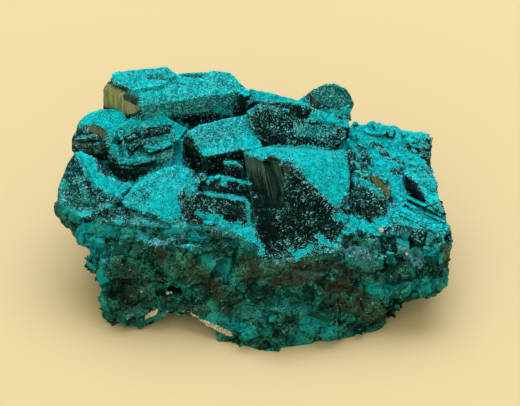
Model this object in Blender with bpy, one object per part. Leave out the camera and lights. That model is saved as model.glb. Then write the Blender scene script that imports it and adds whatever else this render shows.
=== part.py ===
"""Dioptase: a hand specimen of intergrown crystals over a broken, cleaved base.

X runs across the specimen, Y from its front to its back, and Z up. It rests on the
flat break at Z = 0, with the middle of its outline over the origin.

The crystals are laid out on a sighting plane that leans back from the front of the
specimen. A corner is given by its place on that plane, in picture points, and by its
height over the break, in millimetres of a specimen 55 mm wide. A corner with no
height lies in the plane of the first three corners of its face.
"""

import math
import random
from typing import NamedTuple

import bmesh
import bpy
from mathutils import Matrix, Vector
from mathutils.bvhtree import BVHTree

# Driving dimensions
SPECIMEN_WIDTH = 0.055
LAYOUT_WIDTH_MM = 55.0
LAYOUT_WIDTH_POINTS = 392.0
SIGHT_ELEVATION = math.radians(40.0)
SIGHT_CENTRE = (253.0, 271.4)

MM = SPECIMEN_WIDTH / LAYOUT_WIDTH_MM
POINT = SPECIMEN_WIDTH / LAYOUT_WIDTH_POINTS

SIGHT_RIGHT = Vector((1.0, 0.0, 0.0))
SIGHT_UP = Vector((0.0, math.sin(SIGHT_ELEVATION), math.cos(SIGHT_ELEVATION)))
SIGHT_TOWARD = Vector((0.0, -math.cos(SIGHT_ELEVATION), math.sin(SIGHT_ELEVATION)))

WELD_DISTANCE = 0.00001
END_SLOPE = math.radians(50.0)

DIOPTASE_COLOUR = (0.004, 0.11, 0.09, 1.0)
DIOPTASE_ROUGHNESS = 0.25


class Crystal(NamedTuple):
    """One grown crystal: its visible faces, and the way its hidden root runs, in mm."""

    name: str
    faces: list
    root: tuple


class Lump(NamedTuple):
    """One broken knob of massive dioptase: its middle, its half sizes in mm and a seed."""

    place: tuple
    radii: tuple
    seed: int


# The large crystals along the back and top, from left to right

TABLET = Crystal(
    "tablet",
    [
        [(140, 107.5, 23.5), (249, 91, 22.8), (114, 78, 25.3), (230, 73.5), (216, 72), (176, 75)],
        [(104.5, 90, 23.7), (104.5, 110, 20.0), (111, 81, 24.9)],
    ],
    (0.3, 0.3, -9.0),
)
TABLET_PLATE = Crystal(
    "tablet_plate",
    [
        [(116, 73.5, 25.8), (168, 67.5, 25.5), (135, 91, 24.7), (177, 75), (163, 86), (118, 86)],
        [(112, 80, 25.3), (143, 69.5, 25.7)],
    ],
    (0.1, 0.2, -2.0),
)
DOME = Crystal(
    "dome",
    [
        [(81, 121, 19.8), (90, 113, 20.6), (101, 110, 21.0), (115, 110, 21.2), (124, 114, 21.2)],
        [(128, 120, 20.8), (120, 128, 20.6), (104, 126, 20.6), (80, 128, 19.3), (95, 128, 20.2)],
        [(73, 140, 18.2), (73, 151, 17.2), (112, 146, 18.6), (98, 153, 17.6), (84, 154, 17.0)],
    ],
    (2.5, 3.0, -6.0),
)
RUGGED_BLOCK = Crystal(
    "rugged_block",
    [
        [(118, 128, 20.7), (187, 129, 19.6), (133, 118.5, 21.3), (147, 116), (165, 116), (173, 121)],
        [(179, 140, 18.8), (160, 150, 18.2), (122, 146, 19.0)],
    ],
    (0.0, 4.0, -4.0),
)
RUGGED_LEDGE = Crystal(
    "rugged_ledge",
    [
        [(119, 159, 17.4), (150, 158, 17.6), (151, 163, 17.0), (135, 170, 16.2), (121, 168, 16.4)],
    ],
    (0.0, 3.0, -3.0),
)
TROUGH_WALL = Crystal(
    "trough_wall",
    [
        [(112, 145, 18.7), (175, 144, 18.4), (172, 168, 15.9), (157, 170, 15.6), (132, 184, 14.0)],
        [(119, 184, 14.0), (108, 168, 15.8)],
    ],
    (0.0, 4.0, -4.0),
)
LEFT_HORN = Crystal(
    "left_horn",
    [
        [(78, 152.5, 18.6), (60, 189, 14.8), (101, 190, 16.0), (64, 178), (70, 163), (88, 156)],
        [(60, 210, 12.6), (68, 219, 12.0), (100, 214, 13.6), (125, 198, 15.2)],
    ],
    (3.0, 4.0, -5.0),
)
HORN_RIDGE = Crystal(
    "horn_ridge",
    [
        [(82, 152, 18.8), (90, 164, 18.1), (95, 178, 17.1), (99, 158, 18.2), (102, 168, 17.3)],
        [(107, 176, 16.6)],
    ],
    (0.0, 0.0, -5.0),
)
HORN_FOOT = Crystal(
    "horn_foot",
    [
        [(95, 178, 17.0), (102, 189, 16.3), (113, 194, 15.6), (107, 176, 16.6), (115, 184, 15.8)],
        [(121, 187, 15.4), (124, 194, 15.2), (134, 185, 15.2)],
    ],
    (0.0, 0.0, -5.0),
)
MIDDLE_BLOCK = Crystal(
    "middle_block",
    [
        [(190, 131, 20.4), (206, 157.5, 19.2), (248, 115, 20.4), (200, 126), (222, 119.5), (245, 150)],
        [(182, 141, 19.2), (183, 153, 17.4), (262, 147, 19.0)],
    ],
    (0.3, 0.3, -6.0),
)
GREAT_PRISM = Crystal(
    "great_prism",
    [
        [(293, 168, 21.4), (346, 153, 18.7), (337, 211, 15.5), (360, 166), (359, 182)],
        [(293, 168, 21.4), (273, 257, 11.0), (337, 211, 15.5), (340, 229), (331, 242), (284, 262)],
        [(243.5, 153, 20.8), (262, 149, 20.9), (300, 152, 20.9), (256, 233, 13.2), (266, 250, 11.6)],
    ],
    (2.0, 5.0, -4.0),
)
LENS = Crystal(
    "lens",
    [
        [(268, 103.5, 23.8), (290, 152, 18.2), (344, 128, 20.0), (300, 103), (345, 138), (330, 150)],
        [(248, 112, 22.0), (250, 125, 20.9), (260, 139, 19.5), (258, 105, 23.0), (280, 150, 18.3)],
        [(313, 151.5, 17.8), (345, 122, 20.2)],
    ],
    (0.0, 5.0, -4.0),
)
POINTED = Crystal(
    "pointed",
    [
        [(334, 85, 25.0), (313, 90.5, 24.0), (353, 105, 22.3), (325, 85.5), (345, 90), (350, 97)],
        [(348, 118, 20.8), (312, 120, 20.5), (301, 101, 22.8), (303, 109, 21.8)],
    ],
    (-0.8, 4.0, -4.0),
)
BACK_BAND = Crystal(
    "back_band",
    [
        [(249, 89, 21.8), (262, 92, 21.9), (301, 102, 21.0), (281, 96, 21.6)],
        [(256, 108, 20.5), (300, 112, 20.2)],
    ],
    (0.0, 2.0, -6.0),
)

# The small crystals in the hollow before the middle block, and those on the right

STEP_SMALL = Crystal(
    "step_small",
    [
        [(225, 162, 18.8), (234, 160.5, 19.0), (243, 167, 18.4), (243, 179, 16.9), (226, 180, 16.8)],
    ],
    (0.5, 2.5, -4.0),
)
STEP_MIDDLE = Crystal(
    "step_middle",
    [
        [(207, 181, 17.0), (220, 175.5, 17.6), (246, 181, 17.2), (256, 191, 16.1)],
        [(208, 194, 15.4), (252, 200, 14.8)],
    ],
    (0.5, 3.0, -4.0),
)
STEP_LOW = Crystal(
    "step_low",
    [
        [(186, 197, 16.0), (201, 192, 16.8), (247, 200, 16.4), (252, 206, 15.8)],
        [(182, 212, 14.2), (187, 219, 13.5), (225, 223, 13.4), (251, 224, 13.4)],
    ],
    (0.0, 4.0, -3.0),
)
RIGHT_KNOT = Crystal(
    "right_knot",
    [
        [(359, 173, 17.4), (372, 176, 17.2), (386, 178, 17.0), (384, 196, 15.2), (357, 195, 15.4)],
        [(351, 212, 13.8), (361, 222, 12.9), (380, 218, 13.2), (384, 204, 14.4)],
    ],
    (0.5, 3.0, -4.0),
)
KNOT_LEDGE = Crystal(
    "knot_ledge",
    [
        [(334, 214, 13.7), (351, 214, 13.7), (387, 223, 12.9), (383, 236, 12.1), (346, 232, 12.5)],
    ],
    (0.0, 3.0, -4.0),
)
RIGHT_BLADE = Crystal(
    "right_blade",
    [
        [(403, 174, 16.2), (409, 171, 16.0), (428, 205, 14.0), (423, 206, 13.6), (404, 184, 14.8)],
        [(436, 186, 14.9), (445, 214, 12.9), (418, 168, 15.4)],
    ],
    (-0.5, 3.0, -4.0),
)
RIGHT_LEDGE = Crystal(
    "right_ledge",
    [
        [(390, 216, 13.8), (400, 208, 14.1), (447, 230, 11.9), (449, 240, 10.8), (392, 228, 12.6)],
    ],
    (-1.0, 3.0, -4.0),
)
RIGHT_EDGE = Crystal(
    "right_edge",
    [
        [(419, 132, 16.1), (428, 138, 15.7), (431, 148, 15.0), (428, 165, 14.0), (420, 160, 14.6)],
    ],
    (-1.5, 1.0, -5.0),
)

# The powdery slopes between the crystals

LEFT_SLOPE = Crystal(
    "left_slope",
    [
        [(149, 175, 16.6), (165, 168.5, 17.2), (178, 164.5, 17.6), (190, 169, 17.4), (202, 179, 16.6)],
        [(135, 187, 15.6), (160, 188, 16.4), (180, 189, 16.5), (200, 187, 16.2), (123, 201, 14.6)],
        [(144, 208, 14.4), (160, 216, 14.2), (172, 223.5, 13.6), (184, 220, 13.6), (129, 208, 14.2)],
    ],
    (0.0, 4.0, -6.0),
)
RIGHT_SLOPE = Crystal(
    "right_slope",
    [
        [(352, 123, 16.1), (426, 134, 15.4), (365, 235, 12.6), (432, 168), (440, 200), (330, 160)],
        [(330, 228, 13.0), (395, 234, 12.0), (447, 232, 11.4)],
    ],
    (-1.0, 0.5, -8.0),
)

CRYSTALS = [
    TABLET,
    TABLET_PLATE,
    DOME,
    RUGGED_BLOCK,
    RUGGED_LEDGE,
    TROUGH_WALL,
    LEFT_HORN,
    HORN_RIDGE,
    HORN_FOOT,
    MIDDLE_BLOCK,
    GREAT_PRISM,
    LENS,
    POINTED,
    BACK_BAND,
    STEP_SMALL,
    STEP_MIDDLE,
    STEP_LOW,
    RIGHT_KNOT,
    KNOT_LEDGE,
    RIGHT_BLADE,
    RIGHT_LEDGE,
    RIGHT_EDGE,
    LEFT_SLOPE,
    RIGHT_SLOPE,
]

# The massive base: its rim and foot at the front, and its hidden corners in mm

BASE_RIM = [
    (84, 222, 12.8),
    (205, 229, 13.3),
    (276, 263, 10.4),
    (330, 250, 11.6),
    (365, 237, 12.4),
    (400, 240, 11.0),
]
BASE_FOOT = [
    (108, 315, 0.0),
    (150, 322, 0.0),
    (233, 339, 0.0),
    (261, 348, 0.0),
    (284, 345, 0.0),
    (325, 339, 0.0),
    (365, 329, 0.0),
    (378, 316, 1.0),
    (402, 303, 4.4),
]
BASE_BACK_MM = [
    (-20.5, 4.0, 0.0),
    (-17.5, 12.0, 0.0),
    (-6.0, 14.5, 0.0),
    (8.0, 14.0, 0.0),
    (17.0, 9.0, 0.0),
    (17.5, -2.0, 0.0),
    (-24.0, 5.0, 14.0),
    (-19.0, 13.0, 17.0),
    (-3.0, 15.5, 17.5),
    (10.0, 14.5, 16.0),
    (20.5, 11.0, 12.5),
    (22.0, 0.0, 10.5),
]
BASE_ROOT_MM = (0.0, 0.0, -2.0)

# Stout prisms that stand out of the back, with place, lean, radius and length in mm

BACK_PRISMS = [
    ((-19.0, 12.0, 13.0), (-0.6, 0.9, 0.5), 3.4, 4.4),
    ((-11.0, 14.5, 15.5), (0.1, 0.8, 0.8), 3.6, 4.6),
    ((-13.0, 14.0, 7.5), (-0.2, 1.0, 0.1), 3.8, 3.6),
    ((-4.0, 15.0, 12.0), (0.3, 1.0, 0.2), 4.2, 3.6),
    ((-2.0, 14.5, 4.5), (-0.1, 1.0, -0.1), 4.0, 3.2),
    ((3.0, 14.5, 15.5), (0.2, 0.9, 0.5), 3.0, 3.4),
    ((9.0, 13.5, 12.0), (0.4, 0.9, 0.5), 3.8, 4.2),
    ((8.0, 13.0, 5.0), (0.2, 1.0, 0.0), 3.6, 3.4),
    ((17.5, 10.5, 9.0), (0.8, 0.7, 0.3), 3.6, 3.8),
    ((16.0, 8.0, 3.8), (0.8, 0.6, 0.0), 3.2, 3.2),
    ((-21.0, 6.0, 6.5), (-1.0, 0.3, 0.1), 3.4, 3.2),
]

# Knobs that swell the broken sides, each on the sighting plane

LUMPS = [
    Lump((70, 208, 12.2), (1.9, 2.6, 2.2), 11),
    Lump((86, 226, 11.2), (2.6, 3.2, 2.8), 12),
    Lump((103, 252, 8.0), (2.2, 3.0, 3.2), 13),
    Lump((113, 276, 5.4), (2.2, 3.0, 3.2), 14),
    Lump((120, 302, 2.4), (2.4, 3.0, 3.0), 15),
    Lump((150, 300, 3.4), (3.6, 2.2, 3.4), 16),
    Lump((140, 255, 9.0), (4.4, 2.6, 4.2), 17),
    Lump((190, 268, 8.0), (4.6, 2.6, 4.4), 18),
    Lump((232, 300, 4.6), (4.0, 2.6, 4.0), 19),
    Lump((262, 322, 2.4), (3.4, 2.4, 3.0), 20),
    Lump((305, 314, 3.2), (4.4, 2.4, 3.6), 21),
    Lump((325, 280, 7.4), (5.0, 2.8, 3.8), 22),
    Lump((355, 254, 10.4), (2.8, 2.2, 2.6), 30),
    Lump((352, 306, 3.6), (3.2, 2.6, 3.4), 23),
    Lump((378, 268, 8.0), (4.0, 3.0, 3.6), 24),
    Lump((396, 284, 5.8), (3.4, 3.6, 2.9), 25),
    Lump((423, 276, 6.9), (3.3, 4.2, 3.4), 26),
    Lump((428, 250, 9.4), (2.9, 4.4, 2.6), 27),
    Lump((434, 262, 8.4), (1.9, 3.0, 3.6), 28),
    Lump((238, 248, 10.6), (4.4, 2.4, 3.0), 29),
]

# The arch under the front left, where the rim of the foot has broken away

ARCH_PLACE_MM = (-9.6, -13.6, 0.0)
ARCH_RADII_MM = (4.9, 5.0, 2.9)

# Small cleaved blocks on the broken sides, and small crystals on the powdery ground

BLOCK_COUNT = 215
BLOCK_SIZE_MM = (1.8, 3.8)
BLOCK_SEED = 7
SPROUT_COUNT = 24
SPROUT_SIZE_MM = (0.6, 1.4)
SPROUT_SEED = 23
SIDE_HEIGHT_MM = 13.0
BACK_HEIGHT_MM = 18.0
PRISM_FOOT_MM = 9.6
PRISM_SPAN_MM = (0.0, 13.0)
GROUND_EDGE_MM = 11.0


def sighted(across: float, down: float, height_mm: float) -> Vector:
    """The point of the specimen seen at that place on the sighting plane, at that height."""
    right = (across - SIGHT_CENTRE[0]) * POINT
    up = (SIGHT_CENTRE[1] - down) * POINT
    toward = (height_mm * MM - up * SIGHT_UP.z) / SIGHT_TOWARD.z
    return SIGHT_RIGHT * right + SIGHT_UP * up + SIGHT_TOWARD * toward


def face_points(face: list) -> list:
    """The corners of one face, those without a height laid in the plane of the first three."""
    points = []
    for corner in face:
        if len(corner) == 3:
            points.append(sighted(*corner))
            continue
        normal = (points[1] - points[0]).cross(points[2] - points[0])
        on_sight = sighted(*corner, 0.0)
        reach = (points[0] - on_sight).dot(normal) / SIGHT_TOWARD.dot(normal)
        points.append(on_sight + SIGHT_TOWARD * reach)
    return points


def hull_mesh(name: str, points: list) -> bpy.types.Mesh:
    """The convex solid around the points."""
    bm = bmesh.new()
    for point in points:
        bm.verts.new(point)
    hull = bmesh.ops.convex_hull(bm, input=bm.verts)
    inner = {e for e in hull["geom_interior"] if isinstance(e, bmesh.types.BMVert)}
    bmesh.ops.delete(bm, geom=list(inner), context="VERTS")
    bmesh.ops.dissolve_limit(bm, angle_limit=math.radians(0.5), verts=bm.verts, edges=bm.edges)
    bmesh.ops.recalc_face_normals(bm, faces=bm.faces)
    mesh = bpy.data.meshes.new(name)
    bm.to_mesh(mesh)
    bm.free()
    return mesh


def crystal_mesh(crystal: Crystal) -> bpy.types.Mesh:
    """One crystal: its faces, swept along its root into the mass behind."""
    points = [point for face in crystal.faces for point in face_points(face)]
    root = Vector(crystal.root) * MM
    return hull_mesh(crystal.name, points + [point + root for point in points])


def base_mesh() -> bpy.types.Mesh:
    """The massive base under the crystals, carried on below the break at its foot."""
    points = [sighted(*corner) for corner in BASE_RIM + BASE_FOOT]
    points += [Vector(corner) * MM for corner in BASE_BACK_MM]
    root = Vector(BASE_ROOT_MM) * MM
    return hull_mesh("base", points + [point + root for point in points if point.z < 1.0 * MM])


def cleave(bm: bmesh.types.BMesh, place: Vector, normal: Vector) -> None:
    """Breaks off what lies beyond a plane, and leaves the break open."""
    geom = bm.verts[:] + bm.edges[:] + bm.faces[:]
    bmesh.ops.bisect_plane(bm, geom=geom, plane_co=place, plane_no=normal, clear_outer=True)


def closed_mesh(name: str, bm: bmesh.types.BMesh) -> bpy.types.Mesh:
    """The convex solid around what the breaks have left, with a flat face over each break."""
    points = [v.co.copy() for v in bm.verts]
    bm.free()
    return hull_mesh(name, points)


def lump_mesh(lump: Lump) -> bpy.types.Mesh:
    """A knob of massive dioptase: a block broken down by planes at odd angles."""
    chance = random.Random(lump.seed)
    bm = bmesh.new()
    bmesh.ops.create_cube(bm, size=2.0)
    for _ in range(12):
        lean = Vector([chance.gauss(0.0, 1.0) for _ in range(3)]).normalized()
        cleave(bm, lean * chance.uniform(0.82, 1.0), lean)
    bmesh.ops.scale(bm, vec=Vector(lump.radii) * MM, verts=bm.verts)
    bmesh.ops.translate(bm, vec=sighted(*lump.place), verts=bm.verts)
    return closed_mesh("lump", bm)


def prism_mesh(radius: float, length: float) -> bpy.types.Mesh:
    """A six-sided prism about Z, with three sloping faces at each end."""
    bm = bmesh.new()
    bmesh.ops.create_cone(
        bm, cap_ends=True, segments=6, radius1=radius, radius2=radius, depth=4.0 * length
    )
    for step in range(3):
        bearing = math.radians(120.0 * step)
        lean = Vector((math.cos(bearing), math.sin(bearing), 0.0)) * math.sin(END_SLOPE)
        rise = Vector((0.0, 0.0, math.cos(END_SLOPE)))
        cleave(bm, Vector((0.0, 0.0, length)), lean + rise)
        cleave(bm, Vector((0.0, 0.0, -length)), lean - rise)
    return closed_mesh("prism", bm)


def block_mesh(chance: random.Random, size: float) -> bpy.types.Mesh:
    """A cleaved block: a skewed box with one corner broken off."""
    bm = bmesh.new()
    bmesh.ops.create_cube(bm, size=size)
    skew = Matrix.Identity(4)
    skew[0][1] = chance.uniform(-0.4, 0.4)
    skew[0][2] = chance.uniform(-0.4, 0.4)
    skew[1][1] = chance.uniform(0.5, 0.9)
    skew[2][2] = chance.uniform(0.45, 0.8)
    bmesh.ops.transform(bm, matrix=skew, verts=bm.verts)
    corner = Vector([chance.choice((-1.0, 1.0)) * chance.uniform(0.5, 1.0) for _ in range(3)])
    cleave(bm, corner * size * 0.28, corner.normalized())
    return closed_mesh("block", bm)


def is_broken_side(place: Vector, normal: Vector) -> bool:
    """Whether a place lies on the broken sides, below the crystals that stand on the rim."""
    height = SIDE_HEIGHT_MM
    if place.y > 8.0 * MM:
        height = BACK_HEIGHT_MM
    elif place.y < 0.0 and PRISM_SPAN_MM[0] * MM < place.x < PRISM_SPAN_MM[1] * MM:
        height = PRISM_FOOT_MM
    return abs(normal.z) < 0.8 and place.z < height * MM


def is_right_ground(place: Vector, normal: Vector) -> bool:
    """Whether a place lies on the gently sloping ground to the right of the great prism."""
    return normal.z > 0.8 and place.x > GROUND_EDGE_MM * MM


def surface_spots(tree: BVHTree, count: int, seed: int, wanted) -> list:
    """Places on the outside of the mass that `wanted` accepts, as (place, normal) pairs."""
    chance = random.Random(seed)
    reach = SPECIMEN_WIDTH
    spots = []
    while len(spots) < count:
        bearing = Vector([chance.gauss(0.0, 1.0) for _ in range(3)]).normalized()
        aim = Vector((chance.uniform(-24, 24), chance.uniform(-13, 13), chance.uniform(1, 20))) * MM
        place, normal, _, _ = tree.ray_cast(aim + bearing * reach, -bearing)
        if place is not None and wanted(place, normal):
            spots.append((place, normal))
    return spots


def settled(mesh: bpy.types.Mesh, place: Vector, lean: Vector, spin: float) -> bpy.types.Mesh:
    """The mesh turned so that its Z axis leans that way, and set at the place."""
    turn = lean.to_track_quat("Z", "Y").to_matrix().to_4x4()
    mesh.transform(Matrix.Translation(place) @ turn @ Matrix.Rotation(spin, 4, "Z"))
    return mesh


def scattered_blocks(spots: list) -> list:
    """A half-sunk cleaved block for every spot."""
    chance = random.Random(BLOCK_SEED)
    meshes = []
    for place, normal in spots:
        size = chance.uniform(*BLOCK_SIZE_MM) * MM
        lean = (normal + Vector([chance.gauss(0.0, 0.4) for _ in range(3)])).normalized()
        mesh = block_mesh(chance, size)
        sunk = size * (0.22 + 0.2 * abs(normal.x))
        meshes.append(settled(mesh, place - normal * sunk, lean, chance.uniform(0.0, math.tau)))
    return meshes


def scattered_sprouts(spots: list) -> list:
    """A short prism for every spot, half sunk in the ground."""
    chance = random.Random(SPROUT_SEED)
    meshes = []
    for place, normal in spots:
        size = chance.uniform(*SPROUT_SIZE_MM) * MM
        lean = (normal + Vector([chance.gauss(0.0, 0.5) for _ in range(3)])).normalized()
        mesh = prism_mesh(size, size * 1.2)
        meshes.append(settled(mesh, place - normal * size * 0.4, lean, chance.uniform(0.0, math.tau)))
    return meshes


def back_prisms() -> list:
    """The stout prisms of the back."""
    meshes = []
    for number, (place, lean, radius, length) in enumerate(BACK_PRISMS):
        mesh = prism_mesh(radius * MM, length * MM)
        meshes.append(settled(mesh, Vector(place) * MM, Vector(lean).normalized(), number * 0.9))
    return meshes


def joined(name: str, meshes: list) -> bpy.types.Object:
    """One object that holds several closed meshes."""
    bm = bmesh.new()
    for mesh in meshes:
        bm.from_mesh(mesh)
    whole = bpy.data.meshes.new(name)
    bm.to_mesh(whole)
    bm.free()
    return bpy.data.objects.new(name, whole)


def evaluated_mesh(obj: bpy.types.Object) -> bpy.types.Mesh:
    """The mesh of an object with its modifiers applied."""
    bpy.context.view_layer.update()
    depsgraph = bpy.context.evaluated_depsgraph_get()
    return bpy.data.meshes.new_from_object(obj.evaluated_get(depsgraph))


def solid_of(meshes: list, cutters: list, guides: bpy.types.Collection) -> bpy.types.Mesh:
    """The union of the meshes, less the cutters, worked out by exact Booleans."""
    base = bpy.data.objects.new("base", meshes[0].copy())
    guides.objects.link(base)
    grown = joined("grown", meshes[1:])
    for guide, operation in [(grown, "UNION")] + [(cutter, "DIFFERENCE") for cutter in cutters]:
        if guide.name not in guides.objects:
            guides.objects.link(guide)
        guide.display_type = "WIRE"
        guide.hide_render = True
        step = base.modifiers.new(guide.name, "BOOLEAN")
        step.operation = operation
        step.solver = "EXACT"
        step.use_self = True
        step.object = guide
    mesh = evaluated_mesh(base)
    base.hide_render = True
    base.modifiers.clear()
    return mesh


def foot_cutter() -> bpy.types.Object:
    """A slab that takes away all that lies below the break at the foot."""
    bm = bmesh.new()
    bmesh.ops.create_cube(bm, size=2.0 * SPECIMEN_WIDTH)
    bmesh.ops.translate(bm, vec=Vector((0.0, 0.0, -SPECIMEN_WIDTH)), verts=bm.verts)
    mesh = bpy.data.meshes.new("foot_cutter")
    bm.to_mesh(mesh)
    bm.free()
    return bpy.data.objects.new("foot_cutter", mesh)


def arch_cutter() -> bpy.types.Object:
    """A low faceted vault that hollows the foot under the front left."""
    bm = bmesh.new()
    bmesh.ops.create_icosphere(bm, subdivisions=2, radius=1.0)
    bmesh.ops.scale(bm, vec=Vector(ARCH_RADII_MM) * MM, verts=bm.verts)
    bmesh.ops.translate(bm, vec=Vector(ARCH_PLACE_MM) * MM, verts=bm.verts)
    mesh = bpy.data.meshes.new("arch_cutter")
    bm.to_mesh(mesh)
    bm.free()
    return bpy.data.objects.new("arch_cutter", mesh)


def dioptase_material() -> bpy.types.Material:
    """The dark green of the stone."""
    material = bpy.data.materials.new("dioptase")
    material.use_nodes = True
    shader = material.node_tree.nodes["Principled BSDF"]
    shader.inputs["Base Color"].default_value = DIOPTASE_COLOUR
    shader.inputs["Roughness"].default_value = DIOPTASE_ROUGHNESS
    shader.inputs["Metallic"].default_value = 0.0
    return material


def loose_corners(bm: bmesh.types.BMesh) -> list:
    """The corners of every shell but the largest: chips cut loose, and closed pores."""
    shells = []
    seen = set()
    for vert in bm.verts:
        if vert in seen:
            continue
        shell = [vert]
        seen.add(vert)
        for corner in shell:
            for edge in corner.link_edges:
                other = edge.other_vert(corner)
                if other not in seen:
                    seen.add(other)
                    shell.append(other)
        shells.append(shell)
    shells.sort(key=len)
    return [vert for shell in shells[:-1] for vert in shell]


def centred(obj: bpy.types.Object) -> None:
    """Keeps one welded shell, and sets the middle of its outline over the origin."""
    bm = bmesh.new()
    bm.from_mesh(obj.data)
    bmesh.ops.triangulate(bm, faces=bm.faces)
    bmesh.ops.remove_doubles(bm, verts=bm.verts, dist=WELD_DISTANCE)
    bmesh.ops.dissolve_degenerate(bm, edges=bm.edges, dist=WELD_DISTANCE)
    bmesh.ops.delete(bm, geom=loose_corners(bm), context="VERTS")
    bmesh.ops.recalc_face_normals(bm, faces=bm.faces)
    xs = [v.co.x for v in bm.verts]
    ys = [v.co.y for v in bm.verts]
    zs = [v.co.z for v in bm.verts]
    middle = Vector(((min(xs) + max(xs)) / 2, (min(ys) + max(ys)) / 2, min(zs)))
    bmesh.ops.translate(bm, vec=-middle, verts=bm.verts)
    bm.to_mesh(obj.data)
    bm.free()


def main() -> bpy.types.Object:
    """Builds the specimen as one solid."""
    for obj in list(bpy.data.objects):
        bpy.data.objects.remove(obj)
    specimen = bpy.data.collections.new("dioptase")
    guides = bpy.data.collections.new("guides")
    bpy.context.scene.collection.children.link(specimen)
    bpy.context.scene.collection.children.link(guides)

    grown = [base_mesh()]
    grown += [crystal_mesh(crystal) for crystal in CRYSTALS]
    grown += back_prisms()
    grown += [lump_mesh(lump) for lump in LUMPS]
    bare = solid_of(grown, [], guides)
    tree = BVHTree.FromPolygons([v.co for v in bare.vertices], [p.vertices for p in bare.polygons])
    grown += scattered_blocks(surface_spots(tree, BLOCK_COUNT, BLOCK_SEED, is_broken_side))
    grown += scattered_sprouts(surface_spots(tree, SPROUT_COUNT, SPROUT_SEED, is_right_ground))
    whole = solid_of(grown, [arch_cutter(), foot_cutter()], guides)
    body = bpy.data.objects.new("dioptase", whole)
    specimen.objects.link(body)
    centred(body)
    body.data.materials.clear()
    body.data.materials.append(dioptase_material())
    return body


if __name__ == "__main__":
    main()
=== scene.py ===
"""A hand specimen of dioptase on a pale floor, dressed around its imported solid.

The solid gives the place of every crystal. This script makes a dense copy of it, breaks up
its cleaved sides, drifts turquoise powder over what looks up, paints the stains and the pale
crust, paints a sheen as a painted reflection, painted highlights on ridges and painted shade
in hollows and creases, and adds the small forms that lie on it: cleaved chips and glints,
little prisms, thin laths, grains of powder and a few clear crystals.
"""

import logging
import math
import random
from dataclasses import dataclass, field
from enum import Enum
from typing import Callable, Sequence

import bmesh
import bpy
import numpy as np
from mathutils import Matrix, Vector, noise
from mathutils.bvhtree import BVHTree


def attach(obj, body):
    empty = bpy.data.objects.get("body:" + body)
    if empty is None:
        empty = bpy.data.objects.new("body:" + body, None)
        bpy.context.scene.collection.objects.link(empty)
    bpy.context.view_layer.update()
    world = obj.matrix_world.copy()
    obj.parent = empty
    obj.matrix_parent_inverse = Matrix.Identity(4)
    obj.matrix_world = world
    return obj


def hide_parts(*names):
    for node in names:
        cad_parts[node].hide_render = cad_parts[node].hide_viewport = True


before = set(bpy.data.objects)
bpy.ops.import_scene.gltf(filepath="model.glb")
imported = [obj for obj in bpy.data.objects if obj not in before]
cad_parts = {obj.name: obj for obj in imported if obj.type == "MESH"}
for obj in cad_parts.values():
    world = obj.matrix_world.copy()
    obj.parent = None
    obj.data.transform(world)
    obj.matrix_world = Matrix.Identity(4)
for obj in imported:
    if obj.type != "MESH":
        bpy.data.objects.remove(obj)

LOG = logging.getLogger("dioptase")
MM = 0.001
NODE = "dioptase"
# A colour in linear values; the two levels of a ramp; a noise's scale, detail, roughness and curl.
Tone = tuple[float, float, float, float]
Levels = tuple[float, float]
Weave = tuple[float, ...]
# A stroke as a row: its name, its start and end across and down, its width and its amount.
Row = tuple[str, float, float, float, float, float, float]


class Layer(Enum):
    """The finishes that are painted on the specimen as values from 0 to 1, among them a painted sheen and the
    painted shade in the hollows.
    """

    BROKEN = "broken"
    POWDER = "powder"
    TEAL = "teal"
    FROST = "frost"
    # A painted reflection: a sheen where glossy faces show the warm surround.
    BRONZE_SHEEN = "bronze_sheen"
    PALE = "pale"
    # Hollows dug into the surface, which are also painted near black as painted shade.
    HOLLOW_PAINTED_SHADE = "hollow"
    TRIM = "trim"


@dataclass(frozen=True)
class Stroke:
    """One named drift of a finish, laid along a line on the sighting plane."""

    name: str
    layer: Layer
    start: tuple[float, float]
    end: tuple[float, float]
    width: float
    amount: float
    level: bool = False


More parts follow.
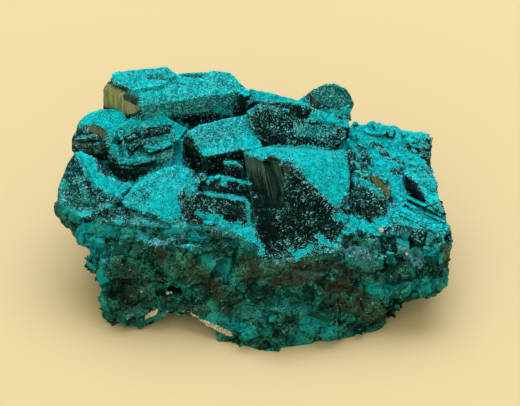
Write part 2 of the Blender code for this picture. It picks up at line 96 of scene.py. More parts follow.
# What is painted on the specimen, layer by layer; powder goes from bare at 0 to solid at 1.
STROKES: dict[Layer, list[Row]] = {
    Layer.BROKEN: [
        ("wall_top_left", 92, 229, 150, 231, 12, 1.0), ("wall_top_middle", 150, 230, 224, 233, 13, 1.0),
        ("wall_top_centre", 221, 230, 253, 250, 12, 1.0), ("wall_under_prism", 270, 264, 330, 256, 10, 1.0),
        ("shoulder_left", 338, 248, 376, 246, 16, 1.0), ("shoulder_green", 344, 237, 362, 236, 7, 1.0),
        ("shoulder_right", 388, 240, 440, 256, 18, 1.0), ("shoulder_top", 394, 231, 414, 232, 8, 1.0),
        ("horn_lump", 62, 208, 84, 222, 10, 0.8), ("rugged_relief", 126, 138, 170, 142, 24, 0.3),
        ("rugged_relief_low", 128, 160, 166, 160, 16, 0.25), ("dome_relief", 80, 138, 100, 150, 18, 0.25),
        ("lens_relief", 262, 106, 300, 112, 10, 0.2),
    ],
    Layer.TRIM: [
        ("trim_foot_right", 392, 316, 428, 300, 12, 0.7), ("trim_left", 86, 252, 98, 288, 10, 0.75),
        ("trim_flank", 70, 238, 84, 256, 10, 1.0), ("trim_foot_left", 104, 322, 122, 326, 7, 0.5),
        ("trim_right", 436, 158, 445, 206, 12, 0.85),
    ],
    # Hollows, gaps and clefts: dug in, and painted near black there as painted shade.
    Layer.HOLLOW_PAINTED_SHADE: [
        ("socket", 163, 290, 178, 292, 8, 1.0), ("gap_prism_right", 352, 172, 350, 196, 3.5, 0.6),
        ("gap_knot", 344, 206, 352, 198, 3.5, 0.5), ("gap_under_knot", 354, 216, 372, 221, 2.5, 0.5),
        ("gap_ground", 348, 150, 358, 160, 3.0, 0.5), ("gap_ground_middle", 362, 158, 372, 166, 3.0, 0.4),
        ("gap_ground_right", 400, 170, 408, 166, 2.5, 0.4), ("furrow_upper", 408, 201, 446, 222, 1.6, 0.35),
        ("furrow_lower", 402, 206, 440, 228, 1.6, 0.35), ("furrow_third", 398, 212, 430, 231, 1.6, 0.3),
        ("pit_slope", 184, 210, 190, 200, 4, 0.3), ("tablet_terrace", 113, 87, 140, 99, 1.3, 0.25),
        ("tablet_terrace_back", 150, 79, 172, 80, 1.6, 0.25),
        ("tablet_terrace_right", 172, 83, 192, 87, 1.2, 0.22),
        ("tablet_terrace_far", 184, 76, 204, 78, 1.3, 0.22),
        ("rugged_cleft_upper", 138, 133, 170, 128, 2.2, 0.25),
        ("rugged_cleft", 136, 149, 150, 152, 3.4, 0.35),
        ("rugged_cleft_left", 120, 140, 124, 158, 2.2, 0.3), ("dome_cleft", 84, 141, 102, 142, 1.6, 0.3),
        ("dome_cleft_low", 76, 150, 96, 152, 1.8, 0.35), ("lens_cleft", 262, 104, 288, 106, 1.5, 0.25),
        ("lens_notch", 284, 108, 292, 119, 3, 0.35), ("wall_cleft_left", 138, 232, 126, 262, 2.2, 0.35),
        ("wall_cleft_middle", 236, 250, 226, 290, 2.4, 0.35),
        ("wall_cleft_right", 381, 238, 384, 268, 2.2, 0.4),
        ("wall_cleft_low", 150, 296, 132, 306, 2.0, 0.3),
    ],
    Layer.TEAL: [
        ("horn_face", 70, 172, 88, 204, 26, 0.5), ("horn_bulge", 60, 190, 72, 216, 10, 0.5),
        ("pointed_face", 318, 94, 342, 102, 22, 0.9), ("lens_low", 300, 134, 330, 130, 12, 0.4),
        ("tablet_face", 148, 113, 236, 103, 16, 0.42), ("step_teal", 206, 168, 248, 206, 12, 0.3),
        ("prism_left_teal", 252, 180, 262, 230, 8, 0.15), ("shoulder_teal", 386, 246, 392, 262, 8, 1.0),
        ("shoulder_leaf", 400, 236, 425, 240, 12, 0.8), ("left_flank", 90, 236, 106, 276, 26, 1.4),
        ("horn_foot", 72, 215, 112, 219, 14, 0.35), ("under_slope", 150, 222, 205, 228, 8, 0.9),
        ("middle_flank", 205, 262, 250, 275, 18, 0.6), ("left_foot", 105, 312, 150, 318, 10, 0.5),
        ("front_foot", 212, 318, 250, 330, 16, 0.9), ("right_foot", 305, 322, 330, 332, 16, 1.0),
        ("right_lobe", 372, 290, 440, 282, 18, 0.9), ("right_cheek", 425, 232, 445, 228, 10, 1.1),
        ("rugged_face", 122, 146, 168, 148, 26, 0.65), ("rugged_front", 138, 160, 166, 170, 18, 0.9),
        ("step_front", 206, 204, 244, 212, 16, 0.3), ("shoulder_wide", 392, 240, 438, 254, 20, 0.9),
        ("shoulder_low", 338, 262, 376, 262, 12, 0.5), ("wall_top_teal", 100, 230, 205, 238, 13, 0.85),
        ("left_flank_low", 96, 280, 106, 306, 9, 0.8), ("brown_left", 118, 268, 150, 285, 26, -0.5),
        ("brown_middle", 165, 250, 210, 285, 28, -0.9), ("brown_centre", 250, 268, 305, 270, 30, -1.1),
        ("brown_low", 170, 298, 205, 306, 14, -0.5), ("brown_right", 335, 290, 375, 312, 28, -1.1),
        ("brown_rim", 325, 262, 372, 276, 12, -0.6), ("brown_cheek", 440, 240, 446, 262, 6, -1.0),
    ],
    Layer.FROST: [
        ("frost_left", 160, 243, 184, 237, 9, 0.9), ("frost_block", 346, 248, 366, 262, 18, 0.6),
        ("frost_right", 394, 248, 416, 260, 11, 0.75), ("frost_prism_foot", 277, 262, 296, 258, 5, 0.7),
        ("frost_foot", 128, 313, 145, 311, 7, 0.5), ("frost_foot_middle", 278, 326, 292, 330, 6, 0.6),
    ],
    # Painted reflection: a sheen where glossy faces show the warm surround, olive and striated where it is
    # weaker.
    Layer.BRONZE_SHEEN: [
        ("tablet_left", 106, 92, 134, 106, 20, 1.0), ("dome_sheen", 92, 129, 104, 134, 10, 0.74),
        ("dome_sheen_low", 76, 143, 92, 149, 7, 0.72), ("dome_foot", 96, 146, 106, 152, 8, 0.5),
        ("prism_striae_low", 258, 176, 276, 204, 16, 0.06),
        ("prism_striae_middle", 252, 168, 274, 192, 14, 0.26),
        ("prism_striae", 248, 161, 272, 178, 11, 0.5), ("prism_band", 275, 168, 277, 200, 11, 0.42),
        ("prism_edge_low", 282, 186, 276, 208, 7, 0.16), ("prism_edge", 288, 170, 281, 188, 8, 0.5),
        ("tablet_left_low", 108, 104, 128, 111, 10, 1.0), ("slope_shade", 186, 198, 188, 214, 8, 0.30),
        ("tablet_corner", 128, 98, 142, 105, 6, 0.36), ("wall_brown_rim", 214, 232, 228, 236, 6, 0.5),
        ("pointed_left", 307, 96, 314, 108, 9, 0.62), ("knot_brown", 372, 178, 385, 192, 10, 0.74),
    ],
    Layer.PALE: [
        ("arch_rim_left", 148, 316, 158, 311, 3.4, 1.0), ("arch_rim_top", 159, 309, 192, 310, 1.6, 0.64),
        ("arch_rim_right", 192, 312, 208, 321, 2.6, 0.84), ("arch_rim_foot", 208, 322, 231, 332, 5, 1.0),
    ],
    Layer.POWDER: [
        ("tablet_top", 135, 92, 225, 84, 34, 0.74), ("tablet_top_left", 118, 80, 160, 76, 12, 0.8),
        ("tablet_top_front", 140, 104, 215, 97, 9, 0.58), ("tablet_hollow", 150, 77, 168, 76, 3, 0.35),
        ("tablet_hollow_right", 186, 76, 205, 77, 2.5, 0.3), ("tablet_left", 106, 92, 132, 104, 18, 0.0),
        ("tablet_left_corner", 108, 84, 128, 92, 7, 0.15), ("tablet_front", 150, 113, 240, 101, 15, 0.37),
        ("tablet_front_right", 238, 94, 246, 106, 10, 0.3), ("tablet_right", 216, 78, 243, 92, 8, 0.55),
        ("under_tablet", 216, 112, 262, 115, 4.0, 0.95), ("dome_cap", 90, 119, 122, 121, 13, 0.92),
        ("dome_side", 84, 128, 98, 128, 5, 0.35), ("dome_drip", 108, 128, 120, 138, 12, 0.85),
        ("dome_sheen", 94, 130, 104, 133, 8, 0.0), ("dome_sheen_low", 76, 144, 95, 149, 10, 0.05),
        ("dome_green", 76, 132, 82, 140, 8, 0.1), ("dome_arc", 83, 137, 98, 139, 1.8, 0.75),
        ("dome_arc_low", 90, 145, 100, 144, 1.6, 0.6), ("rugged_face", 122, 146, 168, 148, 26, 0.58),
        ("rugged_rim_left", 124, 126, 166, 119, 8, 0.8), ("rugged_rim_right", 164, 119, 187, 130, 7, 0.9),
        ("rugged_middle", 126, 134, 170, 132, 8, 0.66), ("rugged_column", 182, 134, 176, 160, 11, 0.9),
        ("rugged_gap_upper", 144, 131, 172, 127, 5, 0.2), ("rugged_gap_lower", 122, 143, 158, 143, 6, 0.2),
        ("rugged_tongue", 150, 153, 166, 145, 3.2, 0.7), ("rugged_front", 138, 158, 170, 156, 12, 0.3),
        ("rugged_ledge", 122, 161, 148, 160, 6, 0.72), ("rugged_trough", 112, 165, 128, 182, 10, 0.06),
        ("rugged_trough_right", 128, 182, 160, 169, 7, 0.05), ("horn_face", 72, 168, 92, 200, 24, 0.15),
        ("horn_face_low", 64, 196, 84, 204, 16, 0.2), ("horn_patch", 82, 180, 90, 200, 6, 0.32),
        ("horn_left_glow", 60, 190, 68, 205, 6, 0.35), ("horn_ridge_upper", 86, 156, 96, 176, 10, 0.97),
        ("horn_ridge_lower", 96, 176, 110, 189, 9, 0.97), ("horn_ridge_foot", 110, 190, 133, 187, 7, 0.95),
        ("horn_back", 100, 163, 103, 172, 4, 0.25), ("horn_foot_dark", 96, 200, 118, 200, 8, 0.25),
        ("under_horn", 112, 207, 121, 219, 6, 0.9), ("slope_crown", 150, 184, 180, 170, 19, 0.74),
        ("slope_belly", 160, 190, 172, 213, 22, 0.9), ("slope_shoulder", 186, 178, 200, 187, 12, 0.85),
        ("slope_tongue", 134, 200, 148, 190, 14, 0.6), ("slope_tongue_tip", 126, 202, 138, 198, 8, 0.7),
        ("slope_dark", 186, 199, 190, 216, 14, 0.16), ("furrow_left", 139, 191, 160, 183, 1.3, 0.5),
        ("furrow_right", 144, 196, 166, 187, 1.3, 0.45), ("furrow_low", 150, 200, 172, 190, 1.3, 0.55),
        ("furrow_crown", 158, 178, 184, 168, 1.4, 0.4), ("furrow_crown_low", 152, 184, 178, 174, 1.4, 0.45),
        ("furrow_far_left", 128, 199, 146, 189, 1.5, 0.3),
        ("furrow_left_low", 134, 205, 150, 196, 1.5, 0.3), ("slope_right_pits", 184, 190, 196, 184, 3, 0.3),
        ("slope_right_spur", 182, 204, 196, 194, 4, 0.35), ("slope_foot_gap", 140, 212, 156, 218, 4, 0.25),
        ("slope_foot_gap_right", 168, 220, 186, 219, 3, 0.3), ("rim_gap", 196, 216, 204, 220, 6, 0.12),
        ("rim_gap_middle", 226, 217, 234, 221, 4, 0.2), ("knob", 194, 176, 203, 179, 5, 0.3),
        ("middle_top", 205, 138, 242, 128, 24, 0.5), ("middle_shelf", 246, 142, 264, 149, 8, 0.9),
        ("middle_left", 188, 142, 198, 164, 12, 0.05), ("middle_front", 208, 160, 240, 152, 5, 0.1),
        ("prism_back", 248, 149, 345, 150, 5, 0.92), ("prism_brow", 250, 156, 292, 165, 4, 0.7),
        ("prism_top", 300, 160, 350, 172, 18, 0.92), ("prism_top_right", 338, 172, 346, 197, 20, 0.93),
        ("prism_top_middle", 314, 176, 338, 202, 12, 0.9), ("prism_front", 284, 178, 300, 232, 36, 0.13),
        ("prism_front_right", 320, 208, 326, 236, 18, 0.11), ("prism_left", 252, 168, 272, 196, 20, 0.0),
        ("prism_band_bare", 272, 164, 276, 200, 16, 0.0), ("prism_left_low", 262, 205, 270, 240, 18, 0.04),
        ("under_prism", 268, 256, 336, 246, 9, 0.25), ("prism_specks_low", 276, 246, 318, 240, 12, 0.19),
        ("prism_specks_edge", 292, 170, 330, 210, 5, 0.2), ("prism_foot_left", 296, 258, 300, 252, 5, 0.95),
        ("prism_foot_left_arm", 300, 252, 310, 246, 3.6, 0.95),
        ("prism_foot_left_tip", 291, 250, 296, 254, 2.6, 0.85),
        ("prism_foot_right", 317, 236, 325, 242, 4.4, 0.95),
        ("prism_foot_right_arm", 325, 242, 335, 246, 3.4, 0.85),
        ("prism_foot_right_tip", 320, 240, 318, 247, 2.4, 0.8), ("lens_face", 264, 116, 332, 138, 28, 0.19),
        ("lens_face_bright", 262, 108, 290, 116, 10, 0.28), ("lens_low", 300, 132, 330, 132, 12, 0.36),
        ("lens_band", 306, 118, 345, 123, 7, 0.85), ("lens_hollow", 288, 111, 306, 117, 8, 0.06),
        ("pointed_face", 318, 92, 344, 106, 22, 0.2), ("pointed_left", 306, 97, 316, 108, 8, 0.12),
        ("pointed_foot", 312, 116, 346, 112, 6, 0.8), ("back_band", 250, 93, 304, 103, 8, 0.9),
        ("step_small_top", 226, 163, 241, 164, 3.6, 0.8), ("step_small_face", 226, 171, 240, 173, 8, 0.05),
        ("step_middle_left", 208, 180, 221, 177, 5, 0.8), ("step_middle_side", 222, 182, 228, 190, 5, 0.6),
        ("step_middle_rim", 221, 178, 250, 184, 2.2, 0.85),
        ("step_middle_face", 210, 189, 246, 191, 7, 0.06), ("step_low_face", 206, 204, 244, 212, 14, 0.15),
        ("step_low_rim", 200, 193, 247, 200, 1.7, 0.9), ("step_low_side", 248, 203, 250, 222, 3.0, 0.9),
        ("step_low_patch", 208, 215, 224, 218, 4, 0.8), ("rim_gap_row", 190, 223, 222, 225, 5, 0.1),
        ("rim_upper_gap", 226, 217, 240, 223, 6, 0.12), ("rim_under", 192, 226, 238, 236, 6, 0.1),
        ("rim_patch_left", 199, 213, 210, 219, 4, 0.8), ("rim_patch_right", 219, 220, 226, 224, 5, 0.95),
        ("rim_middle", 206, 221, 236, 224, 2.4, 0.8), ("rim_tongue", 236, 224, 263, 246, 4, 0.97),
        ("rim_left", 100, 216, 130, 213, 10, 0.2), ("ground_back", 354, 133, 420, 140, 17, 0.96),
        ("ground_left", 350, 142, 382, 164, 15, 0.94), ("ground_middle", 388, 156, 424, 166, 18, 0.96),
        ("ground_gap", 352, 170, 372, 180, 8, 0.12), ("ground_gap_right", 380, 150, 388, 158, 4, 0.3),
        ("ground_lane", 394, 176, 388, 212, 9, 0.94), ("ground_right", 430, 176, 441, 210, 9, 0.94),
        ("ground_front", 398, 196, 440, 226, 10, 0.8), ("knot_top", 356, 174, 372, 172, 6, 0.6),
        ("knot_left", 350, 178, 355, 200, 5, 0.08), ("knot_brown", 374, 180, 384, 190, 9, 0.05),
        ("knot_front", 356, 196, 376, 208, 24, 0.17), ("knot_dark", 352, 207, 368, 216, 7, 0.06),
        ("ledge_left", 336, 217, 352, 219, 7, 0.95), ("ledge_right", 352, 222, 376, 233, 7, 0.95),
        ("ledge_back", 368, 223, 389, 218, 5, 0.9), ("under_ledge", 384, 230, 420, 236, 9, 0.2),
        ("blade_gash", 406, 181, 420, 203, 8, 0.0), ("blade_middle", 410, 187, 416, 197, 13, 0.0),
        ("ground_pits", 356, 146, 366, 150, 4, 0.2), ("ground_pits_far", 408, 147, 420, 152, 5, 0.2),
        ("ground_pits_low", 392, 160, 404, 164, 4, 0.25), ("lane_pits", 386, 196, 392, 206, 4, 0.25),
        ("cheek_pits", 420, 168, 432, 176, 5, 0.3), ("prism_right_foot", 332, 214, 346, 200, 6, 0.25),
        ("left_of_steps", 199, 186, 206, 198, 5, 0.1), ("gap_prism_right", 348, 154, 352, 190, 4, 0.1),
        ("gap_crystal", 361, 152, 369, 160, 7, 0.15), ("gap_right", 391, 171, 401, 174, 4, 0.15),
        ("gap_far", 371, 143, 383, 147, 3, 0.2), ("edge_face", 425, 142, 430, 165, 9, 0.03),
        ("furrow_upper", 408, 201, 446, 222, 1.5, 0.05), ("furrow_lower", 402, 206, 440, 228, 1.5, 0.1),
        ("furrow_third", 398, 212, 430, 231, 1.5, 0.15),
    ],
}


def painted_strokes() -> list[Stroke]:
    """Every stroke in the order in which it is painted; those of the ground keep to what looks up."""
    return [
        Stroke(name, layer, (x0, y0), (x1, y1), width, amount, level=name.startswith("ground"))
        for layer, rows in STROKES.items()
        for name, x0, y0, x1, y1, width, amount in rows
    ]


@dataclass(frozen=True)
class Sight:
    """The sighting plane that the crystals are laid out on, and that the camera faces."""

    elevation: float = math.radians(40.0)
    centre: tuple[float, float] = (253.0, 271.4)
    point: float = 0.055 / 392.0
    middle: tuple[float, float, float] = (0.059 * MM, 0.292 * MM, 0.0)

    def up(self) -> Vector:
        """The plane's up direction."""
        return Vector((0.0, math.sin(self.elevation), math.cos(self.elevation)))

    def toward(self) -> Vector:
        """The direction from the specimen to the eye."""
        return Vector((0.0, -math.cos(self.elevation), math.sin(self.elevation)))

    def place(self, across: float, down: float) -> Vector:
        """The point of the plane at that place, in the model's own frame."""
        right = (across - self.centre[0]) * self.point
        rise = (self.centre[1] - down) * self.point
        return Vector((right, 0.0, 0.0)) + self.up() * rise - Vector(self.middle)

    def project(self, coords: np.ndarray) -> tuple[np.ndarray, np.ndarray]:
        """Where points of the model are seen on the plane.

        Args:
            coords: the points, one row each, in metres.

        Returns:
            The places across and down, in picture points.
        """
        shifted = coords + np.array(self.middle)
        across = self.centre[0] + shifted[:, 0] / self.point
        down = self.centre[1] - shifted @ np.array(self.up()) / self.point
        return across, down


def smooth_step(low: float, high: float, values: np.ndarray) -> np.ndarray:
    """Rises from 0 at low to 1 at high, level at both ends."""
    share = np.clip((values - low) / (high - low), 0.0, 1.0)
    return share * share * (3.0 - 2.0 * share)


def mesh_coords(mesh: bpy.types.Mesh) -> np.ndarray:
    """The places of a mesh's corners, one row each."""
    flat = np.empty(len(mesh.vertices) * 3, dtype=np.float32)
    mesh.vertices.foreach_get("co", flat)
    return flat.reshape(-1, 3).astype(np.float64)


def mesh_normals(mesh: bpy.types.Mesh) -> np.ndarray:
    """The normals of a mesh's corners, one row each."""
    flat = np.empty(len(mesh.vertices) * 3, dtype=np.float32)
    mesh.vertex_normals.foreach_get("vector", flat)
    return flat.reshape(-1, 3).astype(np.float64)


def write_coords(mesh: bpy.types.Mesh, coords: np.ndarray) -> None:
    """Moves a mesh's corners to new places."""
    mesh.vertices.foreach_set("co", coords.astype(np.float32).ravel())
    mesh.update()


def write_layer(mesh: bpy.types.Mesh, name: str, values: np.ndarray) -> None:
    """Stores one value for each corner of a mesh."""
    layer = mesh.attributes.get(name) or mesh.attributes.new(name, "FLOAT", "POINT")
    layer.data.foreach_set("value", values.astype(np.float32))


def read_layer(mesh: bpy.types.Mesh, name: str) -> np.ndarray:
    """Reads back one value for each corner of a mesh."""
    values = np.empty(len(mesh.vertices), dtype=np.float32)
    mesh.attributes[name].data.foreach_get("value", values)
    return values.astype(np.float64)


def write_edges(mesh: bpy.types.Mesh) -> None:
    """Stores where a mesh's corners lie on a ridge or in a crease, each from 0 to 1."""
    coords, normals = mesh_coords(mesh), mesh_normals(mesh)
    pairs = np.empty(len(mesh.edges) * 2, dtype=np.int32)
    mesh.edges.foreach_get("vertices", pairs)
    first, second = pairs.reshape(-1, 2).T
    runs = coords[second] - coords[first]
    runs /= np.maximum(np.linalg.norm(runs, axis=1), 1e-12)[:, None]
    bend = np.zeros(len(coords))
    valence = np.zeros(len(coords))
    for ends, sign in ((first, -1.0), (second, 1.0)):
        np.add.at(bend, ends, sign * np.einsum("ij,ij->i", normals[ends], runs))
        np.add.at(valence, ends, 1.0)
    bend /= np.maximum(valence, 1.0)
    # The material paints highlights on the ridges and shade in the creases from these two layers.
    write_layer(mesh, "ridge", smooth_step(0.07, 0.34, bend))
    write_layer(mesh, "crease", smooth_step(0.05, 0.32, -bend))


@dataclass
class SpecimenBody:
    """The specimen's whole surface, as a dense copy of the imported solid."""

    octree_depth: int = 8
    remesh_scale: float = 0.72
    snap_reach: float = 0.12 * MM
    facet_cells: tuple[float, ...] = (4.6 * MM, 2.1 * MM, 0.95 * MM)
    facet_tilts: tuple[float, ...] = (0.16, 0.20, 0.15)
    lean_shifts: tuple[tuple[float, float, float], ...] = (
        (9.3, -1.5, -8.0), (0.0, 0.0, 0.0), (6.3, 11.2, -3.5),
    )
    corner_scales: tuple[float, float, float] = (7.31, 3.17, 5.13)
    cell_rise: float = 0.55
    shade_spread: float = 0.75
    shade_shares: tuple[float, ...] = (0.25, 0.40, 0.35)
    facet_limit: float = 0.30 * MM
    border_width: float = 0.13
    cleft_depth: float = 0.27 * MM
    cleft_scale: float = 160.0
    swell_scales: tuple[float, float, float] = (120.0, 260.0, 260.0)
    ripple_scale: float = 600.0
    steps: float = 4.0
    heap_scales: tuple[float, float] = (900.0, 2100.0)
    heap_from: float = 0.3
    wander_scale: float = 1500.0
    wander_shift: tuple[float, float, float] = (9.0, 5.0, 2.0)
    wander_reach: float = 1.6
    dusting: float = 0.12
    settled: float = 0.68
    trim_depth: float = 0.8 * MM
    step_height: float = 0.16 * MM
    powder_height: float = 0.10 * MM
    hollow_depth: float = 1.3 * MM
    foot_fade: float = 0.7 * MM
    chip_room: float = 0.20 * MM
    sharp_angle: float = math.radians(24.0)
    rim_x: tuple[float, ...] = (-27, -20, -7, 0, 3, 11, 16, 22, 28)
    rim_z: tuple[float, ...] = (12.4, 13.4, 13.0, 11.2, 10.2, 11.2, 12.0, 11.0, 10.4)
    back_rim_z: float = 14.0
    back_seats: tuple[tuple[tuple[float, float, float], tuple[float, float, float], float], ...] = (
        ((-19.0, 12.0, 13.0), (-0.6, 0.9, 0.5), 3.4),
        ((-11.0, 14.5, 15.5), (0.1, 0.8, 0.8), 3.6),
        ((-13.0, 14.0, 7.5), (-0.2, 1.0, 0.1), 3.8),
        ((-4.0, 15.0, 12.0), (0.3, 1.0, 0.2), 4.2),
        ((-2.0, 14.5, 4.5), (-0.1, 1.0, -0.1), 4.0),
        ((3.0, 14.5, 15.5), (0.2, 0.9, 0.5), 3.0),
        ((9.0, 13.5, 12.0), (0.4, 0.9, 0.5), 3.8),
        ((8.0, 13.0, 5.0), (0.2, 1.0, 0.0), 3.6),
        ((17.5, 10.5, 9.0), (0.8, 0.7, 0.3), 3.6),
        ((16.0, 8.0, 3.8), (0.8, 0.6, 0.0), 3.2),
        ((-21.0, 6.0, 6.5), (-1.0, 0.3, 0.1), 3.4),
    )
    sight: Sight = field(default_factory=Sight)

    def dense_mesh(self) -> bpy.types.Mesh:
        """A remeshed copy of the solid that keeps its edges crisp.

        Returns:
            The mesh, with no corner further than the snap reach from the solid.
        """
        source = bpy.data.objects[NODE].data
        bm = bmesh.new()
        bm.from_mesh(source)
        bmesh.ops.remove_doubles(bm, verts=bm.verts, dist=0.001 * MM)
        merged = bpy.data.meshes.new("merged")
        bm.to_mesh(merged)
        tree = BVHTree.FromBMesh(bm)
        bm.free()
        carrier = bpy.data.objects.new("carrier", merged)
        bpy.context.scene.collection.objects.link(carrier)
        remesh = carrier.modifiers.new("dense", "REMESH")
        remesh.mode = "SHARP"
        remesh.octree_depth = self.octree_depth
        remesh.scale = self.remesh_scale
        remesh.sharpness = 1.0
        bpy.context.view_layer.update()
        depsgraph = bpy.context.evaluated_depsgraph_get()
        dense = bpy.data.meshes.new_from_object(carrier.evaluated_get(depsgraph))
        bpy.data.objects.remove(carrier)
        for vert in dense.vertices:
            near, _, _, away = tree.find_nearest(vert.co)
            if away > self.snap_reach:
                vert.co = near
        dense.update()
        return dense

    def broken_share(self, coords: np.ndarray) -> np.ndarray:
        """How far each corner belongs to the broken sides, from 0 to 1."""
        rim = np.interp(coords[:, 0] / MM, self.rim_x, self.rim_z)
        rim = np.where(coords[:, 1] > 8 * MM, self.back_rim_z, rim)
        share = 1.0 - smooth_step(-0.6, 0.6, coords[:, 2] / MM - rim)
        for place, lean, radius in self.back_seats:
            axis = np.array(lean) / np.linalg.norm(lean)
            offset = coords / MM + np.array(self.sight.middle) / MM - np.array(place)
            along = offset @ axis
            away = np.linalg.norm(offset - along[:, None] * axis, axis=1)
            crystal = (1.0 - smooth_step(radius * 1.02, radius * 1.12, away)) * smooth_step(-0.6, 0.4, along)
            share = share * (1.0 - crystal * 0.85)
        return np.clip(share, 0.0, 1.0)

    def facet(self, place: Vector, cell: float, tilt: float) -> tuple[float, float, float]:
        """One tilted flat cell of a broken surface, at one place.

        Args:
            place: the place, in metres.
            cell: how far apart the cells are.
            tilt: how steeply they lean.

        Returns:
            The height there, the cell's own shade, and how near its border is from 0 to 1.
        """
        distances, corners = noise.voronoi(place / cell)
        corner = corners[0]
        to_lean, to_rise, to_shade = self.corner_scales
        lean = Vector([noise.noise(corner * to_lean + Vector(shift)) for shift in self.lean_shifts])
        away = place / cell - corner
        rise = noise.noise(corner * to_rise) * self.cell_rise
        height = (lean.dot(away) * 2.0 * tilt + rise * tilt) * cell
        border = max(0.0, 1.0 - (distances[1] - distances[0]) / self.border_width)
        return height, 0.5 + self.shade_spread * noise.noise(corner * to_shade), border

    def roughened(self, mesh: bpy.types.Mesh,
                  layers: dict[Layer, np.ndarray]) -> tuple[np.ndarray, np.ndarray]:
        """Breaks up the cleaved sides, steps the crystal faces and heaps the powder.

        Args:
            mesh: the surface, which is moved in place.
            layers: the value of every layer at every corner.

        Returns:
            How far each corner stands out of its surroundings, which is painted as light and shade
            (darker in the hollows, lighter where it stands out), and the shade of the facet that it
            belongs to, both from 0 to 1.
        """
        coords = mesh_coords(mesh)
        normals = mesh_normals(mesh)
        broken, powder = layers[Layer.BROKEN], layers[Layer.POWDER]
        heights = np.zeros(len(coords))
        shades = np.full(len(coords), 0.5)
        for index, row in enumerate(coords):
            place = Vector(row)
            share = broken[index]
            if share > 0.02:
                cells = [self.facet(place, cell, tilt)
                         for cell, tilt in zip(self.facet_cells, self.facet_tilts)]
                height = min(sum(cell[0] for cell in cells), self.facet_limit)
                open_cleft = max(0.0, min(1.0, 0.4 + 2.5 * noise.noise(place * self.cleft_scale)))
                height -= self.cleft_depth * max(cells[0][2], 0.6 * cells[1][2]) * open_cleft
                heights[index] += share * (height - self.chip_room)
                shades[index] = sum(part * cell[1] for part, cell in zip(self.shade_shares, cells))
            if share < 0.98:
                swell = noise.noise(place * Vector(self.swell_scales))
                swell += 0.5 * noise.noise(place * self.ripple_scale)
                stepped = math.floor(swell * self.steps) / self.steps
                heights[index] += (1.0 - share) * stepped * self.step_height
                coarse, fine = [noise.noise(place * scale) for scale in self.heap_scales]
                thick = max(powder[index] - self.heap_from, 0.0)
                heights[index] += (1.0 - share) * thick * (coarse + 0.7 * fine) * self.powder_height
        # Painted light and shade from the relief: what stands out is painted lighter, what lies in the
        # hollows darker.
        relief_shade = smooth_step(-0.55, 0.25, heights / MM + 0.2 * (1.0 - broken))
        heights -= layers[Layer.HOLLOW_PAINTED_SHADE] * self.hollow_depth + layers[Layer.TRIM] * self.trim_depth
        moves = normals * heights[:, None]
        moves[:, 2] *= smooth_step(0.0, self.foot_fade, coords[:, 2])
        coords += moves
        coords[:, 2] = np.maximum(coords[:, 2], 0.0)
        write_coords(mesh, coords)
        return relief_shade, shades

    def seen(self, mesh: bpy.types.Mesh) -> np.ndarray:
        """Which corners the eye can see, as 1 or 0."""
        bm = bmesh.new()
        bm.from_mesh(mesh)
        tree = BVHTree.FromBMesh(bm)
        bm.free()
        toward = self.sight.toward()
        result = np.zeros(len(mesh.vertices))
        for index, vert in enumerate(mesh.vertices):
            start = vert.co + toward * 0.25 * MM + vert.normal * 0.05 * MM
            if tree.ray_cast(start, toward)[0] is None:
                result[index] = 1.0
        return result

    def stroke_share(self, stroke: Stroke, across: np.ndarray, down: np.ndarray,
                     wander: np.ndarray) -> np.ndarray:
        """How strongly a stroke covers each place of the sighting plane, from 0 to 1.

        Args:
            stroke: the stroke.
            across: where the places are, in picture points.
            down: the same, downwards.
            wander: two rows of shifts that make the border of a heap uneven.

        Returns:
            The share at each place.
        """
        if stroke.layer is Layer.POWDER and stroke.amount >= 0.6:
            reach = min(2.6, 0.35 * stroke.width)
            across, down = across + wander[0] * reach, down + wander[1] * reach
        start = np.array(stroke.start)
        run = np.array(stroke.end) - start
        along = ((across - start[0]) * run[0] + (down - start[1]) * run[1]) / max(run @ run, 1e-9)
        along = np.clip(along, 0.0, 1.0)
        away = np.hypot(across - start[0] - along * run[0], down - start[1] - along * run[1])
        half = stroke.width / 2.0
        return 1.0 - smooth_step(half * 0.6, half * 1.25 + 0.8, away)

    def layer_values(self, mesh: bpy.types.Mesh) -> dict[Layer, np.ndarray]:
        """Works out the value of every layer at every corner of the mesh."""
        coords = mesh_coords(mesh)
        normals = mesh_normals(mesh)
        across, down = self.sight.project(coords)
        seen = self.seen(mesh)
        places = [Vector(row) * self.wander_scale for row in coords]
        shift = Vector(self.wander_shift)
        wander = np.array([(noise.noise(place), noise.noise(place + shift)) for place in places]).T
        wander = wander * self.wander_reach
        layers = {layer: np.zeros(len(coords)) for layer in Layer}
        broken = self.broken_share(coords)
        layers[Layer.BROKEN] = broken
        looks_up = smooth_step(0.60, 0.80, normals[:, 2])
        layers[Layer.POWDER] = self.dusting + looks_up * (1.0 - broken) * self.settled - broken * self.dusting
        for stroke in painted_strokes():
            share = self.stroke_share(stroke, across, down, wander)
            if stroke.layer is not Layer.TRIM:
                share = share * seen
            if stroke.level:
                share = share * (0.15 + 0.85 * smooth_step(0.1, 0.6, normals[:, 2]))
            layers[stroke.layer] += share * (stroke.amount - layers[stroke.layer])
            if stroke.layer is Layer.BROKEN:
                layers[Layer.POWDER] *= 1.0 - share * 0.95
        return layers

    def build(self) -> bpy.types.Object:
        """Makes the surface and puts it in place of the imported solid."""
        mesh = self.dense_mesh()
        layers = self.layer_values(mesh)
        relief_shade, shades = self.roughened(mesh, layers)
        write_layer(mesh, "tint_and_shade", relief_shade)
        write_layer(mesh, "facet", shades)
        for layer, values in layers.items():
            write_layer(mesh, layer.value, values)
        write_edges(mesh)
        for polygon in mesh.polygons:
            polygon.use_smooth = True
        mesh.set_sharp_from_angle(angle=self.sharp_angle)
        return placed_piece("specimen_body", mesh)


